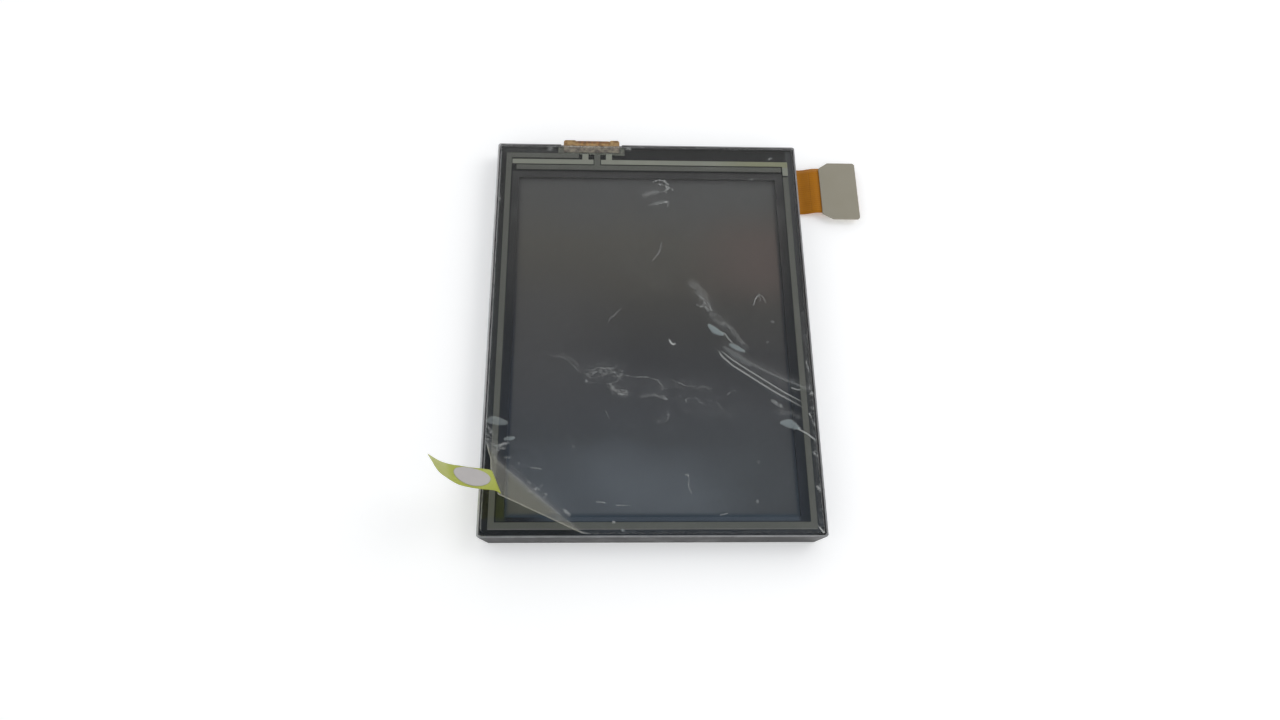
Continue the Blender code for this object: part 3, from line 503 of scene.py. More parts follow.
def gasket_look():
    """Black foam border under the touch glass.

    Its lip is greyer at the top and bluer at the bottom, a painted reflection, with a painted reflection of
    the yellow tab at the lower left. Its outer part carries the same painted reflection, is blackest where
    the film is turned up, and is lighter at the left edge and at the upper right.
    """
    look = Look("gasket")
    pores = look.noise(0.22, 3.0, 0.7)
    share = look.ease(look.y, -40.0, 40.0)
    # painted reflection: the outer border is bluer at the bottom and near black at the top
    border = look.ramp(
        share,
        (0.0, (0.022, 0.026, 0.032)),
        (0.01, (0.012, 0.015, 0.018)),
        (0.5, (0.012, 0.013, 0.014)),
        (1.0, (0.005, 0.0048, 0.0046)),
    )
    # darker where the film is turned up
    border = look.mix(look.ease(look.past_crease(), 0.0, 1.5, 0.0, 0.85), border, (0.008, 0.0072, 0.0064))
    # painted reflection: the lip is bluer at the bottom and greyer at the top
    lip = look.ramp(
        share,
        (0.0, (0.008, 0.011, 0.018)),
        (0.5, (0.002, 0.003, 0.006)),
        (0.87, (0.030, 0.028, 0.026)),
        (0.925, (0.044, 0.043, 0.042)),
        (0.94, (0.036, 0.035, 0.034)),
        (0.955, (0.031, 0.030, 0.030)),
        (0.97, (0.034, 0.033, 0.032)),
        (0.995, (0.050, 0.049, 0.048)),
    )
    # painted reflection: a blue strip along the bottom of the lip
    bottom = look.times(look.ease(look.y, -38.1, -38.6), look.ease(look.x, -24.0, -17.0))
    bottom = look.times(bottom, look.ease(look.x, 27.6, 26.8))
    lip = look.mix(bottom, lip, (0.050, 0.066, 0.088))
    # painted reflection of the yellow tab at the lower left
    corner = look.times(look.ease(look.x, -26.6, -27.6), look.ease(look.y, -32.0, -36.0))
    lip = look.mix(look.times(corner, 0.4), lip, rgb(70, 76, 22))
    colour = look.mix(look.inside(BORDER_LIP, 0.3), border, lip)
    # a lighter, noise-broken line along the left edge
    dust = look.ease(look.noise(1.2, 4.0), 0.3, 0.5, 0.45, 1.0)
    pale_left_line = look.times(look.ease(look.x, -31.2, -31.35), dust)
    colour = look.mix(pale_left_line, colour, grey(140))
    # lighter along the right edge, more so towards the top
    haze = look.times(look.ease(look.x, 29.8, 30.4), look.ease(look.y, -25.0, 32.0, 0.1, 1.0))
    colour = look.mix(haze, colour, (0.056, 0.056, 0.058))
    colour = look.mix(look.ease(look.noise(2.6, 4.0), 0.5, 0.8, 0.0, 0.08), colour, grey(46))
    roughness = look.spread(pores, 0.6, 0.85)
    dull = {"Specular IOR Level": 0.2}
    return look.done(look.solid(colour, roughness, 0.0, look.bump(pores, 0.5), dull))


def touch_glass_look():
    """Clear soda-lime glass."""
    look = Look("touch_glass")
    smear = look.ease(look.noise(9.0, 4.0), 0.55, 0.8, 0.0, 0.004)
    return look.done(look.clear(smear, grey(200), 1.22, 0.03))


def clear_sheet_look(name, veil, ior, roughness):
    """Clear polyester or adhesive with a faint unevenness."""
    look = Look(name)
    cloud = look.ease(look.noise(4.0, 4.0), 0.35, 0.8, veil * 0.5, veil)
    wave = look.bump(look.noise(16.0, 2.0), 0.12, 0.3)
    return look.done(look.clear(cloud, rgb(205, 212, 212), ior, roughness, wave))


def bond_film_look():
    """Cloudy bonding film over the root of the touch flex."""
    look = Look("bond_film")
    cloud = look.noise(1.3, 5.0, 0.65)
    veil = look.ease(cloud, 0.3, 0.75, 0.35, 0.85)
    colour = look.mix(cloud, rgb(92, 94, 86), rgb(128, 130, 118))
    return look.done(look.clear(veil, colour, 1.2, 0.3))


def ink_look(name, dark, light, yellow_from=None):
    """Printed silver ink: fine grey speckle, with thicker lighter sides."""
    look = Look(name)
    speckle = look.noise(0.16, 3.0, 0.7)
    patch = look.noise(6.0, 3.0)
    colour = look.mix(speckle, dark, light)
    colour = look.mix(look.ease(patch, 0.45, 0.75, 0.0, 0.35), colour, light)
    if yellow_from:
        warm = look.ease(look.x, yellow_from, yellow_from + 12.0, 0.0, 0.8)
        warm = look.times(warm, look.ease(look.y, 37.2, 37.5))
        colour = look.mix(warm, colour, rgb(130, 132, 98))
    lower_edge = look.ease(look.y, -40.8, -41.0, 0.0, 0.5)
    colour = look.mix(lower_edge, colour, grey(120))
    return look.done(look.solid(colour, 0.55, 0.15, look.bump(speckle, 0.2, 0.02)))


def touch_flex_look():
    """Tan polyimide over tracks, mottled under the film, with golden ears and a brown outer turn."""
    look = Look("touch_flex")
    mottle = look.noise(0.9, 5.0, 0.7)
    under = look.mix(look.ease(mottle, 0.38, 0.62), rgb(74, 66, 58), rgb(132, 124, 108))
    patches = look.ease(look.noise(1.1, 5.0, 0.7), 0.35, 0.65)
    gold = look.mix(patches, rgb(116, 84, 44), rgb(172, 142, 94))
    outside = look.ease(look.y, TOP - 0.45, TOP + 0.05)
    colour = look.mix(outside, under, gold)
    left, right = TOUCH_TONGUE
    tongue = look.times(look.ease(look.x, left, left + 2.0), look.ease(look.x, right, right - 1.8))
    stains = look.ease(look.noise(0.7, 4.0), 0.35, 0.65)
    brown = look.mix(stains, rgb(70, 44, 30), rgb(138, 92, 58))
    turn = look.times(look.ease(look.y, TOP + 0.2, TOP + 0.6), tongue)
    colour = look.mix(look.times(turn, 0.9), colour, brown)
    shown = look.times(outside, tongue, 0.2)
    tracks = look.times(look.ease(look.ripple(look.x, TOUCH_TRACK_PITCH), 0.1, 0.5), shown)
    colour = look.mix(tracks, colour, rgb(196, 132, 60))
    normal = look.bump(mottle, 0.35, 0.05)
    return look.done(look.solid(colour, look.spread(mottle, 0.3, 0.5), 0.0, normal))


def flex_look(name, attribute=None):
    """Amber polyimide over copper tracks that run along the tail, with a darker ground between them."""
    look = Look(name, attribute)
    cloud = look.noise(3.0, 4.0)
    amber = look.mix(cloud, rgb(182, 115, 6), rgb(160, 98, 3))
    tracks = look.ease(look.ripple(look.y, TRACK_PITCH), -0.2, 0.4)
    colour = look.mix(look.times(tracks, 0.22), amber, rgb(196, 132, 20))
    dust = look.ease(look.noise(0.5, 4.0), 0.68, 0.76, 0.0, 0.3)
    colour = look.mix(dust, colour, rgb(190, 160, 110))
    normal = look.bump(tracks, 0.35, 0.03)
    roughness = look.spread(cloud, 0.30, 0.44)
    return look.done(look.solid(colour, roughness, 0.0, normal, {"Specular IOR Level": 0.22}))


def cover_film_look():
    """Clear protective film. Its marks and its turned-up corner scatter light. The corner's grey veil is
    partly adhesive haze and partly a painted reflection of its sheen at a grazing angle; the whitish veil
    on wrinkles, creases and blisters is partly their own haze and partly a painted highlight.
    """
    look = Look("cover_film", "flat")
    ridge, smear, bubble, lifted, rim = (
        look.node("Attribute", attribute_name=layer).outputs["Fac"]
        for layer in ("ridge", "smear", "bubble", "lifted", "rim")
    )
    # wrinkles, creases and blisters: their whitish veil is partly their own haze and partly a painted
    # highlight for the light they catch
    crumple = look.ease(look.noise(0.55, 4.0, 0.7), 0.40, 0.58, 0.2, 1.3)
    scatter = look.times(ridge, crumple, 0.55)
    stroke = look.node("Attribute", attribute_name="stroke").outputs["Vector"]
    widths_away, bright, _ = look.node("SeparateXYZ", {0: stroke}).outputs
    broken = look.ease(look.noise(0.8, 4.0, 0.7), 0.38, 0.60, 0.1, 1.2)
    drawn = look.times(look.ease(widths_away, 1.5, 0.2), bright, broken)
    scatter = look.math("MAXIMUM", scatter, drawn)
    for number, (_, half_width, _) in enumerate(LINES):
        line = look.node("Attribute", attribute_name=f"line_{number}").outputs["Vector"]
        gap, bright, _ = look.node("SeparateXYZ", {0: line}).outputs
        near = look.ease(look.math("ABSOLUTE", gap), half_width * 1.5, half_width * 0.3)
        scatter = look.math("MAXIMUM", scatter, look.times(near, bright))
    streaks = look.ease(look.noise(0.9, 6.0, 0.75, stretch=(1.0, 2.2, 1.0)), 0.46, 0.60)
    dust = look.ease(look.cells(2.6), 0.055, 0.03, 0.0, 0.30)
    hair = look.ease(look.noise(2.6, 2.0, distortion=1.6), 0.497, 0.503)
    hair = look.times(hair, look.math("SUBTRACT", 1.0, hair))
    for layer, share in (
        (look.times(smear, streaks), 0.17),
        (bubble, 0.26),
        # the turned-up part's veil: partly adhesive haze, partly painted sheen
        (lifted, 0.125),
        (rim, 0.32),
        (dust, 0.5),
        (hair, 0.08),
    ):
        scatter = look.math("ADD", scatter, look.times(layer, share), clamp=True)
    colour = look.mix(bubble, rgb(190, 192, 190), rgb(174, 188, 190))
    # the turned-up part's grey veil: partly adhesive haze, partly a painted reflection of its grazing sheen
    colour = look.mix(lifted, colour, rgb(176, 174, 160))
    wave = look.bump(look.noise(6.0, 3.0), 0.25, 0.25)
    return look.done(look.clear(scatter, colour, 1.34, 0.06, wave))


def tab_look():
    """Yellow-green tape: saturated by the film, paler and greyer at its free end."""
    look = Look("tab", "flat")
    fibre = look.noise(0.5, 4.0, 0.6, stretch=(1.0, 3.0, 1.0))
    colour = look.mix(look.spread(look.noise(5.0, 3.0)), rgb(156, 164, 54), rgb(168, 176, 79))
    pale = look.ease(look.x, 6.9, 8.6)
    colour = look.mix(look.times(pale, 0.75), colour, rgb(178, 182, 114))
    colour = look.mix(look.ease(look.y, 3.0, 1.0, 0.0, 0.5), colour, rgb(150, 156, 30))
    colour = look.mix(look.times(fibre, 0.18), colour, rgb(182, 184, 122))
    return look.grained(colour, fibre, 0.42, 0.58, 0.25)


def label_look():
    """White paper with fibres and a faint grey cast."""
    look = Look("label", "flat")
    fibre = look.noise(0.35, 5.0, 0.7)
    colour = look.mix(look.noise(2.4, 4.0), rgb(186, 181, 178), rgb(174, 170, 170))
    colour = look.mix(look.times(fibre, 0.2), colour, grey(152))
    return look.done(look.solid(colour, 0.7, 0.0, look.bump(fibre, 0.3)))


def stiffener_look():
    """Grey-white glass-epoxy board with a faint weave."""
    look = Look("stiffener")
    threads = look.times(look.ripple(look.x, WEAVE_PITCH), look.ripple(look.y, WEAVE_PITCH))
    weave = look.ease(threads, -0.8, 0.8)
    cloud = look.noise(4.0, 4.0)
    colour = look.mix(cloud, rgb(138, 132, 114), rgb(149, 144, 130))
    colour = look.mix(look.times(weave, 0.10), colour, rgb(160, 155, 140))
    colour = look.mix(look.worn_edge(0.12, 5.0), colour, rgb(178, 174, 160))
    roughness = look.spread(cloud, 0.45, 0.6)
    return look.done(look.solid(colour, roughness, 0.0, look.bump(weave, 0.15, 0.03)))


def connector_look():
    """Ivory moulded connector body."""
    look = Look("connector")
    flow = look.noise(0.9, 3.0, stretch=(1.0, 0.25, 1.0))
    colour = look.mix(flow, rgb(206, 198, 178), rgb(222, 216, 200))
    colour = look.mix(look.worn_edge(0.12, 4.0), colour, rgb(236, 232, 220))
    return look.grained(colour, flow, 0.42, 0.56, 0.15)


def contact_look():
    """Gold-flashed contacts, dulled by solder at their ends."""
    look = Look("contact")
    tarnish = look.noise(0.4, 4.0)
    colour = look.mix(tarnish, rgb(224, 188, 112), rgb(196, 190, 172))
    return look.grained(colour, tarnish, 0.24, 0.42, 0.15, metallic=1.0, depth=0.02)


def chip_look():
    """Bare polished silicon."""
    look = Look("chip")
    sheen = look.noise(3.0, 3.0)
    colour = look.mix(sheen, rgb(52, 52, 58), rgb(66, 66, 74))
    return look.grained(colour, sheen, 0.18, 0.32, 0.05, metallic=0.2)


def light_look():
    """White package of a side-view diode, with a yellow phosphor face."""
    look = Look("light")
    face = look.ease(look.z, 1.2, 1.35)
    phosphor = look.noise(0.3, 3.0)
    colour = look.mix(look.times(face, 0.4), rgb(236, 236, 226), rgb(226, 214, 120))
    return look.grained(colour, phosphor, 0.35, 0.5, 0.2)


def tape_look():
    """Black insulating tape with a fine creped surface."""
    look = Look("tape")
    crepe = look.noise(0.3, 3.0, stretch=(1.0, 0.2, 1.0))
    colour = look.mix(look.noise(6.0), grey(40), grey(52))
    colour = look.mix(look.worn_edge(0.1, 4.0), colour, grey(84))
    return look.grained(colour, crepe, 0.42, 0.6, 0.3)


def make_looks():
    """One material for each slot of the record."""
    return {
        "steel": steel_look(),
        "mould": mould_look(),
        "reflector": reflector_look(),
        "light_guide": light_guide_look(),
        "diffuser": diffuser_look(),
        "prism": prism_look(),
        "polarizer": polarizer_look(),
        "cell_glass": cell_glass_look(),
        "gasket": gasket_look(),
        "touch_glass": touch_glass_look(),
        "dim_silver": ink_look("dim_silver", rgb(74, 76, 68), rgb(89, 90, 83)),
        "bright_silver": ink_look("bright_silver", rgb(122, 125, 112), rgb(140, 142, 130), 12.0),
        "spacer": clear_sheet_look("spacer", 0.002, 1.02, 0.2),
        "touch_film": clear_sheet_look("touch_film", 0.004, 1.30, 0.03),
        "bond_film": bond_film_look(),
        "touch_flex": touch_flex_look(),
        "flex": flex_look("flex"),
        "cover_film": cover_film_look(),
        "tab": tab_look(),
        "sticker": label_look(),
        "stiffener": stiffener_look(),
        "connector": connector_look(),
        "contact": contact_look(),
        "chip": chip_look(),
        "light": light_look(),
        "tape": tape_look(),
    }


# ---- Meshes ----


def smooth_share(value, low, high):
    """0 below low, 1 above high, and a smooth step between."""
    share = np.clip((value - low) / (high - low), 0.0, 1.0)
    return share * share * (3.0 - 2.0 * share)


def sheet_normals(middle):
    """Unit normals of a grid of points."""
    down = np.gradient(middle, axis=0)
    across = np.gradient(middle, axis=1)
    normals = np.cross(down, across)
    return normals / np.linalg.norm(normals, axis=2, keepdims=True)


def make_mesh(name, points, faces, look, smooth):
    """An object with one material. Smooth says which of its faces are shaded smooth."""
    mesh = bpy.data.meshes.new(name)
    mesh.from_pydata((points * MM).tolist(), [], faces)
    mesh.materials.append(look)
    mesh.polygons.foreach_set("use_smooth", smooth)
    mesh.validate()
    made = bpy.data.objects.new(name, mesh)
    bpy.context.scene.collection.objects.link(made)
    return made


def add_layer(sheet, name, values):
    """Keeps a value or a vector for each grid point of a sheet, the same on its upper and lower face."""
    kind, field = ("FLOAT_VECTOR", "vector") if values.ndim == 3 else ("FLOAT", "value")
    attribute = sheet.data.attributes.new(name, kind, "POINT")
    attribute.data.foreach_set(field, np.tile(values.ravel(), 2).astype(np.float32))


def make_sheet(name, middle, thickness, look, flat, layers=None):
    """A closed thin sheet about a grid of middle points.

    Flat is the grid's laid-out position, which its material reads. Layers are further named values.
    """
    rows, columns = middle.shape[:2]
    offset = sheet_normals(middle) * thickness / 2
    points = np.concatenate([(middle + offset).reshape(-1, 3), (middle - offset).reshape(-1, 3)])
    count = rows * columns
    index = np.arange(count).reshape(rows, columns)
    corners = (index[:-1, :-1], index[1:, :-1], index[1:, 1:], index[:-1, 1:])
    quads = np.stack(corners, axis=-1).reshape(-1, 4)
    border = np.concatenate([index[0, :-1], index[:-1, -1], index[-1, :0:-1], index[:0:-1, 0]])
    after = np.roll(border, -1)
    walls = np.stack([border, after, after + count, border + count], axis=-1)
    faces = np.concatenate([quads, quads[:, ::-1] + count, walls])
    smooth = np.arange(len(faces)) < len(quads) * 2
    sheet = make_mesh(name, points, faces.tolist(), look, smooth)
    add_layer(sheet, "flat", flat)
    for layer, values in (layers or {}).items():
        add_layer(sheet, layer, values)
    return sheet


def ride_joint(piece, replaced):
    """Bakes a piece's placement into its mesh, and hides the CAD nodes it replaces."""
    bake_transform(piece)
    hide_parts(*replaced)


def near_path(x, y, path):
    """How far each point is from a broken line, the share of the line passed there, and its side of it."""
    best = np.full(x.shape, np.inf)
    share = np.zeros(x.shape)
    side = np.ones(x.shape)
    steps = len(path) - 1
    for number in range(steps):
        (ax, ay), (bx, by) = path[number], path[number + 1]
        run_x, run_y = bx - ax, by - ay
        length = max(run_x * run_x + run_y * run_y, 1e-9)
        along = np.clip(((x - ax) * run_x + (y - ay) * run_y) / length, 0.0, 1.0)
        gap = np.hypot(x - ax - along * run_x, y - ay - along * run_y)
        turn = run_x * (y - ay) - run_y * (x - ax)
        nearer = gap < best
        best = np.where(nearer, gap, best)
        share = np.where(nearer, (number + along) / steps, share)
        side = np.where(nearer, np.where(turn < 0.0, -1.0, 1.0), side)
    return best, share, side


# Marks in the protective film. Paths run from the left and top edges of the module.
# A line is (path, half width, brightness): a sharp crease, drawn as finely as the material can.
LINES = (
    ([(45.4, 48.3), (46.0, 49.5), (48.0, 51.4), (52.0, 54.2), (56.0, 56.95), (61.3, 60.1)], 0.16, 0.34),
    ([(45.8, 48.2), (48.0, 50.2), (50.0, 51.65), (54.0, 54.4), (58.0, 57.1), (61.3, 59.0)], 0.15, 0.32),
    ([(50.5, 50.2), (54.0, 52.3), (57.0, 53.9), (60.5, 55.4), (63.2, 56.7)], 0.24, 0.11),
    ([(59.6, 64.2), (61.7, 65.4), (63.3, 66.8)], 0.18, 0.34),
    ([(35.7, 45.8), (36.0, 46.6), (36.4, 46.95), (37.0, 46.8)], 0.17, 0.62),
    ([(46.0, 44.2), (46.9, 44.6), (47.4, 45.6), (48.3, 46.6)], 0.14, 0.26),
    ([(59.0, 55.9), (60.3, 56.4), (61.0, 56.4)], 0.16, 0.30),
    ([(23.7, 42.4), (24.2, 41.0), (24.9, 41.0), (25.2, 40.1), (26.4, 39.2)], 0.12, 0.13),
)
# A ridge is (path, half width, height, brightness).
RIDGES = (
    ([(44.7, 47.9), (47.1, 50.7), (52.7, 54.9), (58.1, 58.2), (61.0, 60.1)], 0.45, 0.10, 0.05),
    ([(46.1, 48.5), (50.8, 52.3), (56.0, 56.2), (61.0, 59.3)], 0.45, 0.08, 0.05),
    ([(40.0, 32.9), (41.6, 34.2), (43.0, 36.4), (44.4, 40.3)], 0.75, 0.12, 0.10),
    ([(41.4, 34.0), (43.0, 35.2), (43.6, 36.6)], 0.34, 0.06, 0.10),
    ([(42.6, 37.6), (43.6, 39.4), (44.6, 41.2)], 0.26, 0.06, 0.14),
    ([(45.0, 41.8), (47.7, 43.0), (49.6, 45.9), (51.1, 47.8)], 0.50, 0.12, 0.16),
    ([(46.8, 42.3), (48.4, 43.4), (49.9, 45.6)], 0.22, 0.05, 0.14),
    ([(46.8, 47.4), (50.9, 50.6), (57.3, 54.0), (63.2, 56.4)], 0.95, 0.12, 0.10),
    ([(47.4, 49.6), (51.8, 52.4), (56.4, 55.0), (61.4, 57.6)], 0.60, 0.06, 0.05),
    ([(55.2, 58.6), (57.3, 60.0)], 0.30, 0.06, 0.42),
    ([(55.9, 60.9), (58.6, 61.2), (60.6, 62.3)], 0.60, 0.06, 0.10),
    ([(1.2, 64.0), (1.9, 65.4)], 0.22, 0.05, 0.45),
    ([(3.0, 68.1), (4.0, 67.5), (5.1, 67.3)], 0.26, 0.06, 0.62),
    ([(2.9, 68.9), (3.7, 68.3), (4.6, 68.3)], 0.20, 0.05, 0.40),
    ([(24.4, 55.6), (25.4, 57.2), (27.2, 57.6)], 0.45, 0.05, 0.13),
    ([(33.4, 14.6), (34.8, 14.3), (36.4, 14.2)], 0.30, 0.04, 0.20),
    ([(31.0, 12.9), (33.0, 12.0), (34.4, 11.9)], 0.34, 0.04, 0.14),
    ([(10.1, 76.3), (11.1, 76.0)], 0.26, 0.05, 0.50),
    ([(15.8, 80.0), (16.7, 81.0)], 0.26, 0.05, 0.55),
    ([(4.5, 70.1), (5.7, 70.0)], 0.20, 0.04, 0.25),
    ([(58.2, 3.2), (58.9, 3.0)], 0.22, 0.04, 0.60),
    ([(62.5, 69.0), (63.3, 69.8)], 0.22, 0.04, 0.60),
    ([(62.6, 75.6), (63.3, 76.4)], 0.24, 0.04, 0.60),
)
# A stroke is (path, half width, brightness): a thin broken scratch, felt up to so many half widths away.
STROKE_REACH = 10.0
STROKES = (
    ([(52.9, 38.3), (53.3, 37.0), (54.2, 35.6)], 0.14, 0.32),
    ([(54.0, 36.0), (54.4, 36.9), (54.2, 37.4)], 0.12, 0.22),
    ([(54.3, 35.9), (55.0, 36.4), (55.4, 37.7)], 0.12, 0.20),
    ([(41.4, 38.2), (42.1, 38.7), (42.9, 38.5), (43.6, 39.2)], 0.15, 0.34),
    ([(41.6, 36.0), (42.6, 36.8), (43.2, 38.2)], 0.13, 0.28),
    ([(42.3, 35.6), (42.0, 36.8)], 0.11, 0.22),
    ([(43.0, 36.9), (43.9, 38.2), (44.3, 39.6)], 0.14, 0.26),
    ([(25.8, 53.5), (28.6, 53.8), (31.3, 53.9), (33.2, 54.5), (33.9, 55.5)], 0.12, 0.20),
    ([(20.2, 54.0), (20.9, 53.1), (22.2, 52.8), (23.3, 53.4)], 0.13, 0.14),
    ([(20.6, 52.7), (21.7, 51.9), (22.6, 52.2), (23.8, 51.9), (24.6, 52.9)], 0.13, 0.13),
    ([(22.6, 54.2), (23.4, 53.0), (24.2, 52.7)], 0.12, 0.13),
    ([(24.9, 52.9), (25.8, 54.0), (25.4, 55.0)], 0.12, 0.14),
    ([(20.0, 55.2), (21.6, 55.0), (22.6, 55.3)], 0.11, 0.09),
    ([(24.4, 55.8), (25.2, 57.0), (25.6, 56.6), (26.4, 57.7), (27.4, 57.5)], 0.15, 0.18),
    ([(30.2, 58.2), (31.3, 57.8), (32.4, 57.6)], 0.13, 0.15),
    ([(32.5, 57.3), (33.6, 58.1), (35.2, 58.5)], 0.13, 0.20),
    ([(34.0, 55.4), (34.3, 56.6)], 0.13, 0.14),
    ([(36.6, 55.2), (37.6, 55.1), (38.3, 55.6), (39.7, 55.7)], 0.12, 0.12),
    ([(36.7, 56.1), (38.1, 56.3), (39.5, 56.8)], 0.11, 0.09),
    ([(41.0, 56.0), (42.8, 56.1), (43.6, 56.9)], 0.11, 0.09),
    ([(46.8, 57.4), (47.4, 56.8), (48.4, 56.6)], 0.13, 0.18),
    ([(38.6, 58.4), (38.8, 59.2)], 0.13, 0.18),
    ([(40.9, 58.7), (42.1, 59.6), (43.9, 59.9)], 0.11, 0.08),
    ([(44.8, 59.3), (45.6, 60.4)], 0.12, 0.10),
    ([(12.4, 49.5), (14.4, 49.6), (16.1, 50.6), (17.4, 52.2)], 0.13, 0.13),
    ([(17.2, 51.5), (18.2, 53.6)], 0.12, 0.10),
    ([(23.2, 60.8), (23.9, 62.4)], 0.14, 0.12),
    ([(34.2, 63.0), (35.0, 62.9), (35.4, 61.6)], 0.12, 0.13),
    ([(33.2, 9.3), (34.3, 8.8), (35.3, 9.0), (36.4, 10.0)], 0.14, 0.42),
    ([(34.4, 9.9), (35.5, 10.2), (36.9, 10.9), (37.3, 11.4)], 0.16, 0.52),
    ([(35.3, 11.6), (36.4, 11.0), (37.0, 10.8)], 0.14, 0.40),
    ([(35.6, 8.8), (36.0, 10.4), (35.9, 12.2)], 0.13, 0.34),
    ([(33.6, 14.9), (34.6, 14.6), (36.2, 14.2)], 0.14, 0.42),
    ([(35.2, 14.0), (36.3, 14.6), (36.0, 15.6)], 0.14, 0.42),
    ([(34.7, 24.0), (34.2, 25.4), (34.3, 26.2), (33.4, 27.3), (32.6, 28.5)], 0.13, 0.22),
    ([(33.9, 25.9), (34.9, 25.2)], 0.12, 0.16),
    ([(9.5, 72.0), (11.4, 72.3)], 0.16, 0.22),
    ([(21.6, 78.5), (23.1, 78.6)], 0.14, 0.26),
    ([(25.2, 79.2), (28.0, 79.2)], 0.13, 0.20),
    ([(37.9, 73.4), (38.6, 73.3), (38.8, 74.6), (38.5, 75.4), (39.2, 77.0)], 0.13, 0.22),
    ([(44.3, 81.0), (45.6, 80.7)], 0.14, 0.25),
    ([(62.6, 50.4), (63.0, 52.6)], 0.15, 0.45),
    ([(62.3, 61.2), (63.2, 63.6)], 0.15, 0.45),
    ([(62.2, 83.0), (63.3, 84.5)], 0.16, 0.55),
    ([(38.2, 22.2), (42.6, 22.5)], 0.12, 0.07),
    ([(26.6, 30.6), (27.4, 31.8)], 0.11, 0.08),
    ([(9.8, 26.8), (10.3, 27.4)], 0.12, 0.14),
    ([(52.3, 10.6), (52.6, 13.0)], 0.11, 0.08),
)
# A bubble is (path, half width, height, brightness): a flat blister with a crisp side.
BUBBLES = (
    ([(43.7, 42.8), (44.9, 44.0), (46.2, 44.7)], 0.60, 0.14, 1.0),
    ([(47.7, 46.9), (48.8, 47.5), (50.4, 48.4)], 0.46, 0.12, 0.85),
    ([(46.6, 47.6), (48.9, 49.5), (51.4, 51.3)], 0.60, 0.06, 0.20),
    ([(56.9, 63.2), (58.3, 63.3), (59.9, 64.2)], 0.76, 0.16, 0.85),
    ([(0.9, 62.9), (2.0, 62.8), (4.5, 63.3)], 0.74, 0.14, 0.62),
    ([(4.4, 66.5), (6.1, 66.3)], 0.42, 0.10, 0.72),
    ([(2.3, 67.9), (3.2, 68.4)], 0.36, 0.08, 0.30),
    ([(26.2, 83.6), (26.6, 83.8)], 0.30, 0.05, 0.60),
)
# A smear is (path, half width, strength): a faint cloud that noise breaks up.
SMEARS = (
    ([(20.3, 53.2), (23.3, 52.2), (25.6, 53.2)], 1.3, 0.9),
    ([(24.2, 55.4), (25.4, 57.0), (27.2, 57.1)], 0.9, 1.1),
    ([(30.3, 57.8), (31.9, 57.4), (34.8, 58.1)], 0.6, 0.8),
    ([(33.6, 54.6), (34.0, 56.4), (36.1, 54.9), (39.7, 55.6), (43.3, 56.2)], 0.9, 0.45),
    ([(26.0, 54.6), (29.0, 55.6), (32.4, 55.4)], 1.0, 0.25),
    ([(37.5, 58.1), (42.0, 58.8), (44.0, 59.0)], 1.1, 0.3),
    ([(38.5, 60.6), (43.5, 61.4), (47.5, 61.0)], 1.1, 0.25),
    ([(31.6, 12.6), (34.3, 11.6)], 0.8, 0.7),
    ([(32.8, 14.9), (34.4, 14.8)], 0.7, 0.7),
    ([(14.3, 49.0), (17.0, 50.2), (18.6, 53.2)], 0.35, 0.5),
    ([(32.7, 62.7), (34.6, 62.8), (35.0, 61.2)], 0.6, 0.4),
    ([(41.0, 34.0), (44.0, 39.5), (46.5, 42.5)], 1.3, 0.5),
    ([(1.2, 66.0), (2.2, 69.0)], 1.2, 1.0),
    ([(4.4, 70.6), (10.5, 75.9), (16.9, 81.4)], 0.5, 0.3),
    ([(62.7, 40.0), (63.0, 84.0)], 0.5, 0.6),
    ([(28.0, 30.0), (35.0, 33.0)], 2.0, 0.15),
    ([(21.0, 84.2), (44.0, 84.2), (62.0, 84.0)], 0.5, 0.4),
    ([(1.0, 12.0), (1.2, 62.0)], 0.4, 0.25),
    ([(1.0, 1.6), (12.0, 1.6)], 0.9, 0.5),
)
# A speck is (place, half width, brightness).
SPECKS = (
    ((56.5, 42.0), 0.24, 0.50),
    ((55.2, 46.3), 0.20, 0.35),
    ((19.5, 54.8), 0.18, 0.80),
    ((17.3, 67.9), 0.20, 0.45),
    ((14.0, 24.4), 0.18, 0.30),
    ((54.2, 8.4), 0.22, 0.75),
    ((51.9, 70.9), 0.22, 0.40),
    ((51.2, 78.5), 0.22, 0.85),
    ((24.8, 82.2), 0.22, 0.75),
    ((12.3, 77.0), 0.22, 0.50),
    ((63.2, 57.2), 0.30, 1.00),
    ((63.2, 60.2), 0.26, 0.60),
    ((11.2, 1.2), 0.40, 0.45),
    ((28.0, 1.0), 0.45, 0.60),
    ((7.4, 2.6), 0.20, 0.45),
    ((0.9, 14.0), 0.28, 0.65),
    ((7.2, 71.2), 0.20, 0.30),
    ((9.2, 75.0), 0.24, 0.40),
    ((11.6, 75.4), 0.18, 0.40),
    ((12.0, 77.9), 0.20, 0.45),
    ((16.4, 66.2), 0.14, 0.35),
    ((29.9, 46.9), 0.14, 0.16),
    ((47.1, 62.0), 0.14, 0.16),
    ((52.4, 12.9), 0.14, 0.20),
    ((60.9, 30.2), 0.18, 0.35),
    ((58.0, 47.5), 0.16, 0.30),
    ((31.2, 17.0), 0.12, 0.14),
    ((8.6, 55.6), 0.14, 0.18),
    ((41.5, 76.2), 0.14, 0.30),
    ((44.2, 78.4), 0.16, 0.30),
    ((46.0, 79.4), 0.14, 0.26),
)


def bell(gap, half_width):
    """1 on a line, falling off softly on both sides of it."""
    return np.exp(-((gap / half_width) ** 2))


def tapered(share):
    """1 along most of a line, falling to 0 at its two ends."""
    return 1.0 - np.abs(2.0 * share - 1.0) ** 6


